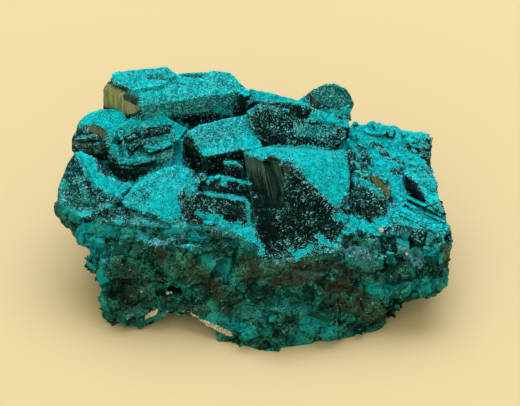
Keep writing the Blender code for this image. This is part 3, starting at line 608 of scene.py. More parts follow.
def placed_piece(name: str, mesh: bpy.types.Mesh) -> bpy.types.Object:
    """Links a mesh as a piece that rides on the specimen's one body."""
    piece = bpy.data.objects.new(name, mesh)
    bpy.context.scene.collection.objects.link(piece)
    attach(piece, "root")
    LOG.info("%s: %d faces", name, len(mesh.polygons))
    return piece


def hull_of(bm: bmesh.types.BMesh, name: str) -> bpy.types.Mesh:
    """The convex solid around what a bmesh still holds, as a mesh; the bmesh is freed."""
    points = [vert.co.copy() for vert in bm.verts]
    bm.free()
    shell = bmesh.new()
    for point in points:
        shell.verts.new(point)
    hull = bmesh.ops.convex_hull(shell, input=shell.verts)
    inner = [item for item in hull["geom_interior"] if isinstance(item, bmesh.types.BMVert)]
    bmesh.ops.delete(shell, geom=inner, context="VERTS")
    bmesh.ops.dissolve_limit(shell, angle_limit=math.radians(1.0), verts=shell.verts, edges=shell.edges)
    bmesh.ops.recalc_face_normals(shell, faces=shell.faces)
    mesh = bpy.data.meshes.new(name)
    shell.to_mesh(mesh)
    shell.free()
    return mesh


def cut_away(bm: bmesh.types.BMesh, place: Vector, normal: Vector) -> None:
    """Takes away what lies beyond a plane."""
    geom = bm.verts[:] + bm.edges[:] + bm.faces[:]
    bmesh.ops.bisect_plane(bm, geom=geom, plane_co=place, plane_no=normal, clear_outer=True)


def chip_pattern(seed: int) -> bpy.types.Mesh:
    """A cleaved chip about 1 unit across: a skewed box with two corners broken off."""
    chance = random.Random(seed)
    bm = bmesh.new()
    bmesh.ops.create_cube(bm, size=1.0)
    skew = Matrix.Identity(4)
    skew[0][1] = chance.uniform(-0.5, 0.5)
    skew[0][2] = chance.uniform(-0.4, 0.4)
    skew[1][1] = chance.uniform(0.5, 0.95)
    skew[2][2] = chance.uniform(0.35, 0.65)
    bmesh.ops.transform(bm, matrix=skew, verts=bm.verts)
    for _ in range(2):
        signs_and_sizes = [chance.choice((-1.0, 1.0)) * chance.uniform(0.4, 1.0) for _ in range(3)]
        corner = Vector(signs_and_sizes)
        cut_away(bm, corner * 0.28, corner.normalized())
    return hull_of(bm, "chip_pattern")


def prism_pattern(length: float, end_slope: float = math.radians(50.0)) -> bpy.types.Mesh:
    """A six-sided prism of radius 1 about Z with three sloping faces at each end."""
    bm = bmesh.new()
    bmesh.ops.create_cone(bm, cap_ends=True, segments=6, radius1=1.0, radius2=1.0, depth=4.0 * length)
    for step in range(3):
        bearing = math.radians(120.0 * step)
        lean = Vector((math.cos(bearing), math.sin(bearing), 0.0)) * math.sin(end_slope)
        rise = Vector((0.0, 0.0, math.cos(end_slope)))
        cut_away(bm, Vector((0.0, 0.0, length)), lean + rise)
        cut_away(bm, Vector((0.0, 0.0, -length)), lean - rise)
    return hull_of(bm, "prism_pattern")


def grain_pattern() -> bpy.types.Mesh:
    """A grain of powder: an eight-faced ball of radius 1."""
    bm = bmesh.new()
    bmesh.ops.create_uvsphere(bm, u_segments=4, v_segments=2, radius=1.0)
    return hull_of(bm, "grain_pattern")


@dataclass
class Scatter:
    """Many small forms spread over the specimen's surface, joined in one piece."""

    name: str
    patterns: list[bpy.types.Mesh]
    count: int
    sizes: tuple[float, float]
    squash: tuple[float, float]
    sink: float
    lean: float
    seed: int
    weigh: Callable[["SurfaceFacts"], np.ndarray]
    proud: float = 0.0

    def turns(self, normals: np.ndarray, chance: np.random.Generator) -> np.ndarray:
        """A turn for every form that leans its Z axis near the surface normal."""
        upward = normals + chance.normal(0.0, self.lean, normals.shape)
        upward /= np.linalg.norm(upward, axis=1)[:, None]
        spare = chance.normal(0.0, 1.0, normals.shape)
        side = np.cross(upward, spare)
        side /= np.linalg.norm(side, axis=1)[:, None]
        other = np.cross(upward, side)
        return np.stack([side, other, upward], axis=2)

    def held_close(self, points: np.ndarray, tree: BVHTree) -> np.ndarray:
        """Draws in the corners that stand further out of the surface than they may."""
        for index, row in enumerate(points):
            spot = Vector(row)
            near, normal, _, away = tree.find_nearest(spot)
            if away > self.proud and (spot - near).dot(normal) > 0:
                points[index] = near + (spot - near) * (self.proud / away)
        return points

    def build(self, facts: "SurfaceFacts") -> bpy.types.Object:
        """Spreads the forms and joins them.

        Args:
            facts: the surface they lie on.

        Returns:
            The joined piece, with the surface's layers on it and a random tone for each form.
        """
        chance = np.random.default_rng(self.seed)
        weights = np.maximum(self.weigh(facts), 0.0) * facts.areas
        picks = chance.choice(len(weights), size=self.count, p=weights / weights.sum())
        spots = facts.centres[picks] + chance.normal(0.0, 0.09 * MM, (self.count, 3))
        normals = facts.normals[picks]
        sizes = self.sizes[0] + (self.sizes[1] - self.sizes[0]) * chance.random(self.count) ** 2
        spots -= normals * (sizes * self.sink)[:, None]
        turns = self.turns(normals, chance)
        scales = np.stack([
            sizes,
            sizes * chance.uniform(*self.squash, self.count),
            sizes * chance.uniform(*self.squash, self.count),
        ], axis=1)
        kinds = chance.integers(0, len(self.patterns), self.count)
        tints = chance.random(self.count)
        coords: list[np.ndarray] = []
        faces: list[tuple[int, ...]] = []
        owners: list[np.ndarray] = []
        start = 0
        for kind, pattern in enumerate(self.patterns):
            members = np.nonzero(kinds == kind)[0]
            base = mesh_coords(pattern)
            outline = [tuple(polygon.vertices) for polygon in pattern.polygons]
            local = base[None, :, :] * scales[members][:, None, :]
            block = np.einsum("nij,nkj->nki", turns[members], local) + spots[members][:, None, :]
            coords.append(block.reshape(-1, 3))
            owners.append(np.repeat(members, len(base)))
            for number in range(len(members)):
                shift = start + number * len(base)
                faces.extend(tuple(corner + shift for corner in face) for face in outline)
            start += len(members) * len(base)
        points = np.concatenate(coords)
        if self.proud > 0:
            points = self.held_close(points, facts.tree)
        points[:, 2] = np.maximum(points[:, 2], 0.0)
        owner = np.concatenate(owners)
        mesh = bpy.data.meshes.new(self.name)
        mesh.from_pydata(points.tolist(), [], faces)
        mesh.update()
        write_layer(mesh, "tint_and_shade", tints[owner])
        write_layer(mesh, "facet", chance.random(self.count)[owner])
        rise = mesh_normals(mesh)[:, 2]
        for name, values in facts.layers.items():
            if name == "tint_and_shade":
                continue
            corner_values = values[picks][owner]
            if name == Layer.POWDER.value:
                corner_values = corner_values * (0.25 + 0.75 * smooth_step(0.1, 0.75, rise))
            write_layer(mesh, name, corner_values)
        write_edges(mesh)
        return placed_piece(self.name, mesh)


class SurfaceFacts:
    """What the small forms need to know of every face of the specimen's surface."""

    def __init__(self, mesh: bpy.types.Mesh) -> None:
        """Reads the faces and their layers.

        Args:
            mesh: the specimen's surface.
        """
        bm = bmesh.new()
        bm.from_mesh(mesh)
        self.tree = BVHTree.FromBMesh(bm)
        bm.free()
        count = len(mesh.polygons)
        flat = np.empty(count * 3, dtype=np.float32)
        mesh.polygons.foreach_get("center", flat)
        self.centres = flat.reshape(-1, 3).astype(np.float64)
        flat = np.empty(count * 3, dtype=np.float32)
        mesh.polygons.foreach_get("normal", flat)
        self.normals = flat.reshape(-1, 3).astype(np.float64)
        areas = np.empty(count, dtype=np.float32)
        mesh.polygons.foreach_get("area", areas)
        self.areas = areas.astype(np.float64)
        firsts = np.array([polygon.vertices[0] for polygon in mesh.polygons])
        names = [layer.value for layer in Layer] + ["tint_and_shade"]  # the facet's shade is each form's own
        self.layers = {name: read_layer(mesh, name)[firsts] for name in names}

    def layer(self, name: str) -> np.ndarray:
        """The value of one layer on every face."""
        return self.layers[name]


@dataclass(frozen=True)
class Mottle:
    """A pattern of soft noise, and the two levels between which it rises from 0 to 1."""

    scale: float
    detail: float
    roughness: float
    low: float
    high: float
    curl: float = 0.0


class Graph:
    """A short way to add and link shader nodes in one tree."""

    def __init__(self, tree: bpy.types.NodeTree) -> None:
        """Takes the tree that the nodes go into."""
        self.tree = tree

    def feed(self, node: bpy.types.Node, sockets: dict) -> None:
        """Fills a node's inputs with values or with the outputs of other nodes."""
        for key, value in sockets.items():
            if isinstance(value, bpy.types.NodeSocket):
                self.tree.links.new(value, node.inputs[key])
            else:
                node.inputs[key].default_value = value

    def put(self, kind: str, sockets: dict | None = None, **settings: object) -> bpy.types.Node:
        """Adds a node.

        Args:
            kind: the node's type name.
            sockets: what goes into its inputs, as values or as outputs of other nodes.
            **settings: properties of the node itself, which are set first.

        Returns:
            The node.
        """
        node = self.tree.nodes.new(kind)
        for key, value in settings.items():
            setattr(node, key, value)
        self.feed(node, sockets or {})
        return node

    def maths(self, operation: str, first: object, second: object = 0.0,
              clamp: bool = False) -> bpy.types.NodeSocket:
        """The result of one sum on numbers."""
        node = self.put("ShaderNodeMath", {0: first, 1: second}, operation=operation, use_clamp=clamp)
        return node.outputs[0]

    def times(self, first: object, second: object) -> bpy.types.NodeSocket:
        """One number times another."""
        return self.maths("MULTIPLY", first, second)

    def minus(self, first: object, second: object) -> bpy.types.NodeSocket:
        """One number less another."""
        return self.maths("SUBTRACT", first, second)

    def plus(self, base: object, value: object, share: float, clamp: bool = False) -> bpy.types.NodeSocket:
        """A base with a share of another value added, or taken away where the share is below 0."""
        return self.maths("ADD", base, self.times(value, share), clamp)

    def blend(self, share: object, first: object, second: object) -> bpy.types.NodeSocket:
        """A colour between two colours."""
        sockets = {0: share, 6: first, 7: second}
        return self.put("ShaderNodeMix", sockets, data_type="RGBA", clamp_factor=True).outputs[2]

    def mix(self, share: object, first: object, second: object) -> bpy.types.NodeSocket:
        """A number between two numbers."""
        sockets = {0: share, 2: first, 3: second}
        return self.put("ShaderNodeMix", sockets, data_type="FLOAT", clamp_factor=True).outputs[0]

    def ramp(self, value: object, low: float, high: float) -> bpy.types.NodeSocket:
        """Rises smoothly from 0 to 1 as a value goes from low to high."""
        sockets = {"Value": value, "From Min": low, "From Max": high}
        return self.put("ShaderNodeMapRange", sockets, interpolation_type="SMOOTHSTEP").outputs[0]

    def coords(self) -> bpy.types.NodeSocket:
        """The place on the model, in metres."""
        return self.put("ShaderNodeTexCoord").outputs["Object"]

    def attribute(self, name: str) -> bpy.types.NodeSocket:
        """The value of a stored layer."""
        return self.put("ShaderNodeAttribute", attribute_name=name).outputs["Fac"]

    def noise(self, coords: bpy.types.NodeSocket, scale: float, detail: float = 2.0,
              roughness: float = 0.5, curl: float = 0.0) -> bpy.types.NodeSocket:
        """Soft noise between 0 and 1, drawn out into curls where curl is more than 0."""
        sockets = {"Vector": coords, "Scale": scale, "Detail": detail, "Roughness": roughness}
        return self.put("ShaderNodeTexNoise", {**sockets, "Distortion": curl}).outputs["Fac"]

    def mottled(self, coords: bpy.types.NodeSocket, mottle: Mottle) -> bpy.types.NodeSocket:
        """Soft patches, as 1 on a patch and 0 beside it."""
        soft = self.noise(coords, mottle.scale, mottle.detail, mottle.roughness, mottle.curl)
        return self.ramp(soft, mottle.low, mottle.high)

    def veins(self, coords: bpy.types.NodeSocket, scale: float, width: float,
              curl: float = 1.0) -> bpy.types.NodeSocket:
        """Thin wandering lines, as 1 on a line and 0 beside it."""
        soft = self.noise(coords, scale, 2.0, 0.55, curl)
        return self.ramp(self.maths("ABSOLUTE", self.minus(soft, 0.5)), width, 0.0)

    def shades(self, coords: bpy.types.NodeSocket, scale: float) -> Sequence[bpy.types.NodeSocket]:
        """Three random numbers for every small cell."""
        cells = self.put("ShaderNodeTexVoronoi", {"Vector": coords, "Scale": scale})
        return self.put("ShaderNodeSeparateColor", {0: cells.outputs["Color"]}).outputs


def colour(red: float, green: float, blue: float) -> Tone:
    """An opaque colour from linear values."""
    return (red, green, blue, 1.0)


def new_material(name: str) -> tuple[bpy.types.Material, Graph, bpy.types.Node]:
    """Starts a material, and gives its graph and its shader with it."""
    material = bpy.data.materials.new(name)
    material.use_nodes = True
    return material, Graph(material.node_tree), material.node_tree.nodes["Principled BSDF"]


def new_group(name: str, values: dict[str, float],
              outputs: Sequence[str]) -> tuple[Graph, dict[str, bpy.types.NodeSocket], bpy.types.Node]:
    """Starts a shader node group that is laid out on the coordinates it is given.

    Args:
        name: the group's name.
        values: the inputs that are numbers, and what each stands at.
        outputs: the outputs; the one named Colour is a colour, and the others are numbers.

    Returns:
        The group's graph, its inputs by name and its output node.
    """
    tree = bpy.data.node_groups.new(name, "ShaderNodeTree")
    tree.interface.new_socket(name="Coords", in_out="INPUT", socket_type="NodeSocketVector")
    for label, value in values.items():
        socket = tree.interface.new_socket(name=label, in_out="INPUT", socket_type="NodeSocketFloat")
        socket.default_value = value
    for label in outputs:
        kind = "NodeSocketColor" if label == "Colour" else "NodeSocketFloat"
        tree.interface.new_socket(name=label, in_out="OUTPUT", socket_type=kind)
    entry = tree.nodes.new("NodeGroupInput")
    leave = tree.nodes.new("NodeGroupOutput")
    return Graph(tree), {socket.name: socket for socket in entry.outputs}, leave


@dataclass(frozen=True)
class PowderFinish:
    """The turquoise powder: its colours, in linear values, its patterns and its levels."""

    bright: Tone = colour(0.0020, 0.72, 0.87)
    deep: Tone = colour(0.0, 0.19, 0.235)
    speck: Tone = colour(0.21, 0.72, 0.82)
    worms: Mottle = Mottle(4300.0, 1.0, 0.6, 0.30, 0.70, 1.4)
    worm_share: float = 0.74
    clumps: Mottle = Mottle(900.0, 3.0, 0.6, 0.30, 0.70)
    clump_share: float = 0.18
    edge: Levels = (-0.05, 0.07)
    grain_scale: float = 5200.0
    heaps: Mottle = Mottle(1300.0, 4.0, 0.75, 0.36, 0.64, 0.8)
    veins: Weave = (1100.0, 0.035)
    vein_share: float = 0.45
    heap_range: tuple[float, float] = (0.12, 0.88)
    grain_range: tuple[float, float] = (0.6, 0.4)
    # Painted light and shade on the powder: ridges lighter, creases darker.
    powder_ridge_highlight_share: float = 0.5
    crease_shade_share: float = 0.6
    dusting: Levels = (0.25, 0.66)
    glint_grains: Levels = (0.78, 0.9)
    glint_cover: Levels = (0.86, 0.76)
    glint_share: float = 0.6
    dusting_share: float = 0.25
    pale_share: float = 0.5

    def group(self) -> bpy.types.NodeTree:
        """The node group that turns a coverage into grains of powder."""
        graph, given, leave = new_group(
            "powder_cover", {"Coverage": 0.5, "Ridge": 0.0, "Crease": 0.0}, ("Mask", "Colour", "Height")
        )
        coords, coverage = given["Coords"], given["Coverage"]
        level = graph.plus(graph.times(graph.mottled(coords, self.worms), self.worm_share),
                           graph.mottled(coords, self.clumps), self.clump_share)
        mask = graph.ramp(graph.minus(coverage, level), *self.edge)
        grain = graph.shades(coords, self.grain_scale)
        heap = graph.plus(graph.mottled(coords, self.heaps), graph.veins(coords, *self.veins),
                          -self.vein_share, clamp=True)
        light = graph.times(graph.plus(self.heap_range[0], heap, self.heap_range[1]),
                            graph.plus(self.grain_range[0], grain[1], self.grain_range[1]))
        # Painted highlight on the ridges and painted shade in the creases.
        light = graph.plus(light, given["Ridge"], self.powder_ridge_highlight_share)
        light = graph.plus(light, given["Crease"], -self.crease_shade_share, clamp=True)
        powder = graph.blend(light, self.deep, self.bright)
        pale = graph.blend(graph.times(grain[2], self.pale_share), self.speck, powder)
        drifted = graph.ramp(graph.plus(coverage, grain[0], self.dusting_share), *self.dusting)
        tone = graph.blend(drifted, pale, powder)
        glint = graph.times(graph.ramp(grain[0], *self.glint_grains), graph.ramp(coverage, *self.glint_cover))
        tone = graph.blend(graph.times(glint, self.glint_share), tone, self.speck)
        height = graph.times(mask, graph.maths("ADD", 0.5, grain[2]))
        graph.feed(leave, {"Mask": mask, "Colour": tone, "Height": height})
        return graph.tree


@dataclass(frozen=True)
class CleavedFinish:
    """The broken sides: patches of dark green, brown green and teal, with painted highlights along thin pale
    lines and on ridges, and painted shade in creases.
    """

    shadow: Tone = colour(0.0020, 0.012, 0.010)
    green: Tone = colour(0.0070, 0.072, 0.062)
    leaf: Tone = colour(0.0110, 0.175, 0.148)
    brown: Tone = colour(0.030, 0.036, 0.017)
    teal: Tone = colour(0.0010, 0.30, 0.35)
    # Painted highlight: the pale green laid along the ridges of the broken sides.
    edge: Tone = colour(0.014, 0.27, 0.215)
    # Painted highlight: the pale green of thin bright lines on the lighter facets.
    line_highlight: Tone = colour(0.06, 0.50, 0.40)
    patch_scale: float = 300.0
    patch_share: float = 0.3
    flake_scale: float = 1500.0
    broad: Weave = (160.0, 3.0, 0.55)
    fine: Weave = (2600.0, 3.0, 0.7, 1.0)
    relief: Weave = (2400.0, 3.0, 0.6)
    facet_share: float = 0.44
    flake_share: float = 0.12
    fine_share: float = 0.4
    fine_middle: float = 0.32
    tint_and_shade_share: float = 0.36
    green_from: Levels = (0.2, 0.62)
    leaf_from: Levels = (0.62, 0.85)
    teal_from: Levels = (0.12, 0.5)
    brown_from: Levels = (-0.04, -0.38)
    hue_share: float = 0.85
    teal_share: float = 0.5
    relief_share: float = 0.7
    ridge_highlight_flecks: Mottle = Mottle(1900.0, 2.0, 0.6, 0.42, 0.62)
    # Painted shade: how far the creases go towards the shadow colour.
    crease_shade_share: float = 0.8
    highlight_lines: Weave = (1500.0, 0.05, 1.8)
    highlight_patches: Mottle = Mottle(420.0, 2.0, 0.6, 0.42, 0.62)
    line_highlight_from: Levels = (0.2, 0.5)
    line_highlight_share: float = 0.75

    def group(self) -> bpy.types.NodeTree:
        """The node group that colours the broken sides."""
        graph, given, leave = new_group(
            "cleaved_stone",
            {"Teal": 0.0, "Tint": 0.5, "Facet": 0.5, "Ridge": 0.0, "Crease": 0.0},
            ("Colour", "Height"),
        )
        coords = given["Coords"]
        patch = graph.shades(coords, self.patch_scale)
        flake = graph.shades(coords, self.flake_scale)
        shade = graph.plus(graph.times(given["Facet"], self.facet_share), flake[0], self.flake_share)
        fine = graph.minus(graph.noise(coords, *self.fine), self.fine_middle)
        shade = graph.plus(shade, fine, self.fine_share)
        # Painted light and shade from the relief: hollows darker, places that stand out lighter.
        shade = graph.plus(shade, given["Tint"], self.tint_and_shade_share)
        tone = graph.blend(graph.ramp(shade, *self.green_from), self.shadow, self.green)
        tone = graph.blend(graph.ramp(shade, *self.leaf_from), tone, self.leaf)
        lean = graph.maths("ADD", graph.times(given["Teal"], self.teal_share),
                           graph.minus(graph.noise(coords, *self.broad), 0.5))
        lean = graph.plus(lean, graph.minus(patch[1], 0.5), self.patch_share)
        tone = graph.blend(graph.times(graph.ramp(lean, *self.teal_from), self.hue_share), tone, self.teal)
        # Painted highlight on the ridges, in patches.
        tone = graph.blend(graph.times(given["Ridge"], graph.mottled(coords, self.ridge_highlight_flecks)), tone, self.edge)
        tone = graph.blend(graph.times(graph.ramp(lean, *self.brown_from), self.hue_share), tone, self.brown)
        # Painted shade in the creases.
        tone = graph.blend(graph.times(given["Crease"], self.crease_shade_share), tone, self.shadow)
        # Painted highlights along thin wandering lines, only on the lighter facets.
        line_highlight = graph.times(graph.veins(coords, *self.highlight_lines), graph.mottled(coords, self.highlight_patches))
        line_highlight = graph.times(line_highlight, graph.ramp(shade, *self.line_highlight_from))
        tone = graph.blend(graph.times(line_highlight, self.line_highlight_share), tone, self.line_highlight)
        relief = graph.noise(coords, *self.relief)
        height = graph.plus(relief, flake[1], self.relief_share)
        graph.feed(leave, {"Colour": tone, "Height": height})
        return graph.tree


@dataclass(frozen=True)
class StoneFinish:
    """The whole specimen: dark crystal, broken stone, frost, powder and pale crust, with a painted sheen,
    painted highlights on ridges and painted shade in hollows and creases.
    """

    powder: PowderFinish = PowderFinish()
    cleaved: CleavedFinish = CleavedFinish()
    crystal: Tone = colour(0.0010, 0.005, 0.005)
    crystal_glow: Tone = colour(0.0, 0.024, 0.023)
    glow: Mottle = Mottle(210.0, 3.0, 0.6, 0.38, 0.7)
    glow_share: float = 0.45
    veil: Tone = colour(0.001, 0.18, 0.19)
    veil_from: Levels = (0.18, 0.75)
    veil_teal: float = 0.4
    veil_share: float = 0.85
    # Painted highlight laid on the ridges of the crystal faces.
    ridge_highlight: Tone = colour(0.02, 0.16, 0.16)
    ridge_highlight_share: float = 0.45
    warp: Weave = (700.0, 3.0, 0.6)
    warp_share: float = 0.7
    broken_from: Levels = (0.35, 0.65)
    # Painted shade: the near-black colour laid in the hollows, gaps, clefts and the socket.
    hollow: Tone = colour(0.0005, 0.004, 0.004)
    hollow_share: float = 0.96
    sparkle_scale: float = 2600.0
    frost: Tone = colour(0.016, 0.100, 0.125)
    frost_light: Tone = colour(0.10, 0.29, 0.36)
    frost_from: Levels = (-0.1, 0.25)
    frost_gaps: float = 0.9
    # The painted sheen, a painted reflection of the warm surround, striped along the real grooves, and olive
    # where it is weaker.
    bronze_sheen: Tone = colour(0.30, 0.325, 0.160)
    bronze_sheen_dark: Tone = colour(0.155, 0.190, 0.092)
    bronze_sheen_from: Levels = (0.62, 0.95)
    grooves: Mottle = Mottle(3900.0, 2.0, 0.6, 0.42, 0.58)
    groove_stretch: tuple[float, float, float] = (1.0, 1.0, 0.03)
    olive: Tone = colour(0.038, 0.082, 0.064)
    olive_dark: Tone = colour(0.004, 0.019, 0.017)
    striae: Mottle = Mottle(3300.0, 2.0, 0.6, 0.38, 0.66)
    striae_axis: tuple[float, float, float] = (0.22, -0.72, -0.65)
    striae_stretch: tuple[float, float, float] = (1.0, 1.0, 30.0)
    striae_from: Levels = (0.0, 0.62)
    striae_share: float = 0.7
    crust: Tone = colour(0.60, 0.54, 0.42)
    crust_shade: Tone = colour(0.26, 0.17, 0.09)
    crust_grain: Weave = (1700.0, 4.0, 0.8)
    crust_from: Levels = (-0.05, 0.1)
    crust_gaps: float = 1.15
    crumbs: Mottle = Mottle(2600.0, 3.0, 0.8, 0.42, 0.68)
    crystal_roughness: float = 0.16
    cleaved_roughness: float = 0.36
    powder_roughness: float = 0.88
    crust_roughness: float = 0.8
    sparkle_roughness: float = 0.12
    groove_height: float = 0.8
    powder_height: float = 0.9
    bump_strength: float = 0.55
    bump_depth: float = 0.10 * MM
    refraction: float = 1.66
    gloss: float = 0.018

    def crystal_tone(self, graph: Graph, coords: bpy.types.NodeSocket,
                     layers: dict[str, bpy.types.NodeSocket]) -> bpy.types.NodeSocket:
        """The colour of the crystal faces: nearly black, with a thin veil and painted highlights on the
        ridges.
        """
        glow = graph.times(graph.mottled(coords, self.glow), self.glow_share)
        tone = graph.blend(glow, self.crystal, self.crystal_glow)
        veil = graph.ramp(graph.plus(layers["powder"], layers["teal"], self.veil_teal), *self.veil_from)
        tone = graph.blend(graph.times(veil, self.veil_share), tone, self.veil)
        return graph.blend(graph.times(layers["ridge"], self.ridge_highlight_share), tone, self.ridge_highlight)

    def striated(self, graph: Graph, coords: bpy.types.NodeSocket, bronze_sheen: bpy.types.NodeSocket,
                 tone: bpy.types.NodeSocket) -> tuple[bpy.types.NodeSocket, bpy.types.NodeSocket]:
        """Lays the olive striae and the bronze_sheen, a painted reflection of the warm surround, over a
        colour.

        Args:
            graph: the graph they are added to.
            coords: the place on the model.
            bronze_sheen: how strong they are, olive at half strength and the full sheen colour when full.
            tone: the colour beneath.

        Returns:
            The colour with them on it, and the height of the grooves.
        """
        level = graph.put("ShaderNodeMapping", {"Vector": coords, "Scale": self.groove_stretch}).outputs[0]
        groove = graph.noise(level, self.grooves.scale, self.grooves.detail, self.grooves.roughness)
        stripe = graph.ramp(groove, self.grooves.low, self.grooves.high)
        turn = Vector(self.striae_axis).to_track_quat("Z", "Y").to_euler()
        along = graph.put(
            "ShaderNodeMapping",
            {"Vector": coords, "Rotation": turn, "Scale": self.striae_stretch},
            vector_type="TEXTURE",
        ).outputs[0]
        line = graph.noise(along, self.striae.scale, self.striae.detail, self.striae.roughness)
        light = graph.ramp(line, self.striae.low, self.striae.high)
        olive_tone = graph.blend(light, self.olive_dark, self.olive)
        bronze_sheen_tone = graph.blend(stripe, self.bronze_sheen_dark, self.bronze_sheen)
        sheen_tone = graph.blend(graph.ramp(bronze_sheen, *self.bronze_sheen_from), olive_tone, bronze_sheen_tone)
        mask = graph.ramp(graph.plus(bronze_sheen, graph.minus(line, 0.5), self.striae_share), *self.striae_from)
        return graph.blend(mask, tone, sheen_tone), groove

    def material(self) -> bpy.types.Material:
        """The material of the body and of every chip and prism on it."""
        material, graph, shader = new_material("dioptase_stone")
        coords = graph.coords()
        names = ("broken", "powder", "teal", "frost", "bronze_sheen", "pale", "hollow",
                 "tint_and_shade", "facet", "ridge", "crease")
        layers = {name: graph.attribute(name) for name in names}
        ridge, crease = layers["ridge"], layers["crease"]
        cleaved = graph.put(
            "ShaderNodeGroup",
            {"Coords": coords, "Teal": layers["teal"], "Tint": layers["tint_and_shade"], "Facet": layers["facet"],
             "Ridge": ridge, "Crease": crease},
            node_tree=self.cleaved.group(),
        ).outputs
        cover = graph.put(
            "ShaderNodeGroup",
            {"Coords": coords, "Coverage": layers["powder"], "Ridge": ridge, "Crease": crease},
            node_tree=self.powder.group(),
        ).outputs
        sparkle = graph.shades(coords, self.sparkle_scale)
        warp = graph.minus(graph.noise(coords, *self.warp), 0.5)
        broken = graph.ramp(graph.plus(layers["broken"], warp, self.warp_share), *self.broken_from)
        tone = graph.blend(broken, self.crystal_tone(graph, coords, layers), cleaved["Colour"])
        frosted = graph.ramp(graph.plus(layers["frost"], sparkle[0], -self.frost_gaps), *self.frost_from)
        tone = graph.blend(frosted, tone, graph.blend(sparkle[1], self.frost, self.frost_light))
        tone, groove = self.striated(graph, coords, layers["bronze_sheen"], tone)
        tone = graph.blend(cover["Mask"], tone, cover["Colour"])
        crust_grain = graph.noise(coords, *self.crust_grain)
        crusted = graph.ramp(graph.plus(layers["pale"], crust_grain, -self.crust_gaps), *self.crust_from)
        crumbs = graph.blend(graph.mottled(coords, self.crumbs), self.crust, self.crust_shade)
        tone = graph.blend(crusted, tone, crumbs)
        # Painted shade: the hollows are darkened towards near black.
        unshaded = graph.plus(1.0, layers["hollow"], -self.hollow_share, clamp=True)
        tone = graph.blend(unshaded, self.hollow, tone)
        rough = graph.mix(broken, self.crystal_roughness, self.cleaved_roughness)
        rough = graph.plus(rough, sparkle[2], self.sparkle_roughness)
        rough = graph.mix(cover["Mask"], rough, self.powder_roughness)
        rough = graph.mix(crusted, rough, self.crust_roughness)
        height = graph.mix(broken, graph.times(groove, self.groove_height), cleaved["Height"])
        height = graph.plus(height, cover["Height"], self.powder_height)
        bump = graph.put("ShaderNodeBump", {
            "Height": height, "Strength": self.bump_strength, "Distance": self.bump_depth,
        })
        graph.feed(shader, {
            "Base Color": tone, "Roughness": rough, "Normal": bump.outputs[0],
            "IOR": self.refraction, "Specular IOR Level": self.gloss,
        })
        return material


@dataclass(frozen=True)
class GrainFinish:
    """Loose grains: a matt colour that varies from grain to grain."""

    name: str
    dark: Tone
    light: Tone
    roughness: float = 0.8
    tint_and_shade_share: float = 0.8
    noise_scale: float = 3000.0
    noise_share: float = 0.3

    def material(self) -> bpy.types.Material:
        """The grains' material."""
        material, graph, shader = new_material(self.name)
        share = graph.plus(graph.times(graph.attribute("tint_and_shade"), self.tint_and_shade_share),
                           graph.noise(graph.coords(), self.noise_scale), self.noise_share, clamp=True)
        tone = graph.blend(share, self.dark, self.light)
        graph.feed(shader, {"Base Color": tone, "Roughness": self.roughness})
        return material


@dataclass(frozen=True)
class ClearFinish:
    """The few clear, pale crystals; their milky white is a painted glint."""

    body: Tone = colour(0.55, 0.62, 0.60)
    # The milky white, a painted glint.
    milky_glint: Tone = colour(0.85, 0.88, 0.86)
    clouds: Mottle = Mottle(1600.0, 3.0, 0.6, 0.4, 0.7)
    roughness: float = 0.08
    milky_glint_roughness: float = 0.35
    clearness: float = 0.35

    def material(self) -> bpy.types.Material:
        """The clear crystals' material."""
        material, graph, shader = new_material("clear_quartz_glints")
        cloud = graph.mottled(graph.coords(), self.clouds)
        graph.feed(shader, {
            "Base Color": graph.blend(cloud, self.body, self.milky_glint),
            "Roughness": graph.mix(cloud, self.roughness, self.milky_glint_roughness),
            "Transmission Weight": self.clearness,
        })
        return material


@dataclass(frozen=True)
class Seat:
    """Where one small crystal stands: its place on the sighting plane, size and lean."""

    across: float
    down: float
    radius: float
    length: float
    bearing: float
    rise: float
    sink: float
    powder: float
    # The strength of the painted sheen on it.
    bronze_sheen: float = 0.0


@dataclass(frozen=True)
class Lath:
    """A long crystal that lies on the surface between two places of the sighting plane."""

    start: tuple[float, float]
    end: tuple[float, float]
    radius: float
    powder: float
    bronze_sheen: float = 0.0


LATHS = [
    Lath((405, 198), (444, 216.5), 0.40, 0.9),
    Lath((402, 203.5), (443, 223), 0.38, 0.85),
    Lath((399, 208.5), (440, 229), 0.40, 0.8),
    Lath((397, 214), (432, 232), 0.36, 0.8),
    Lath((398, 220), (420, 232), 0.36, 0.6),
    Lath((124, 141), (150, 132), 0.75, 0.2),
    Lath((140, 137), (172, 130), 0.6, 0.15),
    Lath((148, 154), (174, 145), 0.6, 0.8),
    Lath((128, 152), (146, 141), 0.7, 0.25),
    Lath((133, 166), (158, 160), 0.6, 0.3),
    Lath((78, 141), (98, 137), 0.45, 0.3, 0.35),
    Lath((76, 148), (96, 146), 0.5, 0.12, 0.55),
    Lath((82, 153), (106, 152), 0.5, 0.15, 0.2),
    Lath((252, 103), (284, 106), 0.5, 0.4),
    Lath((256, 108), (290, 113), 0.45, 0.35),
    Lath((206, 181), (222, 178), 0.5, 0.85),
]


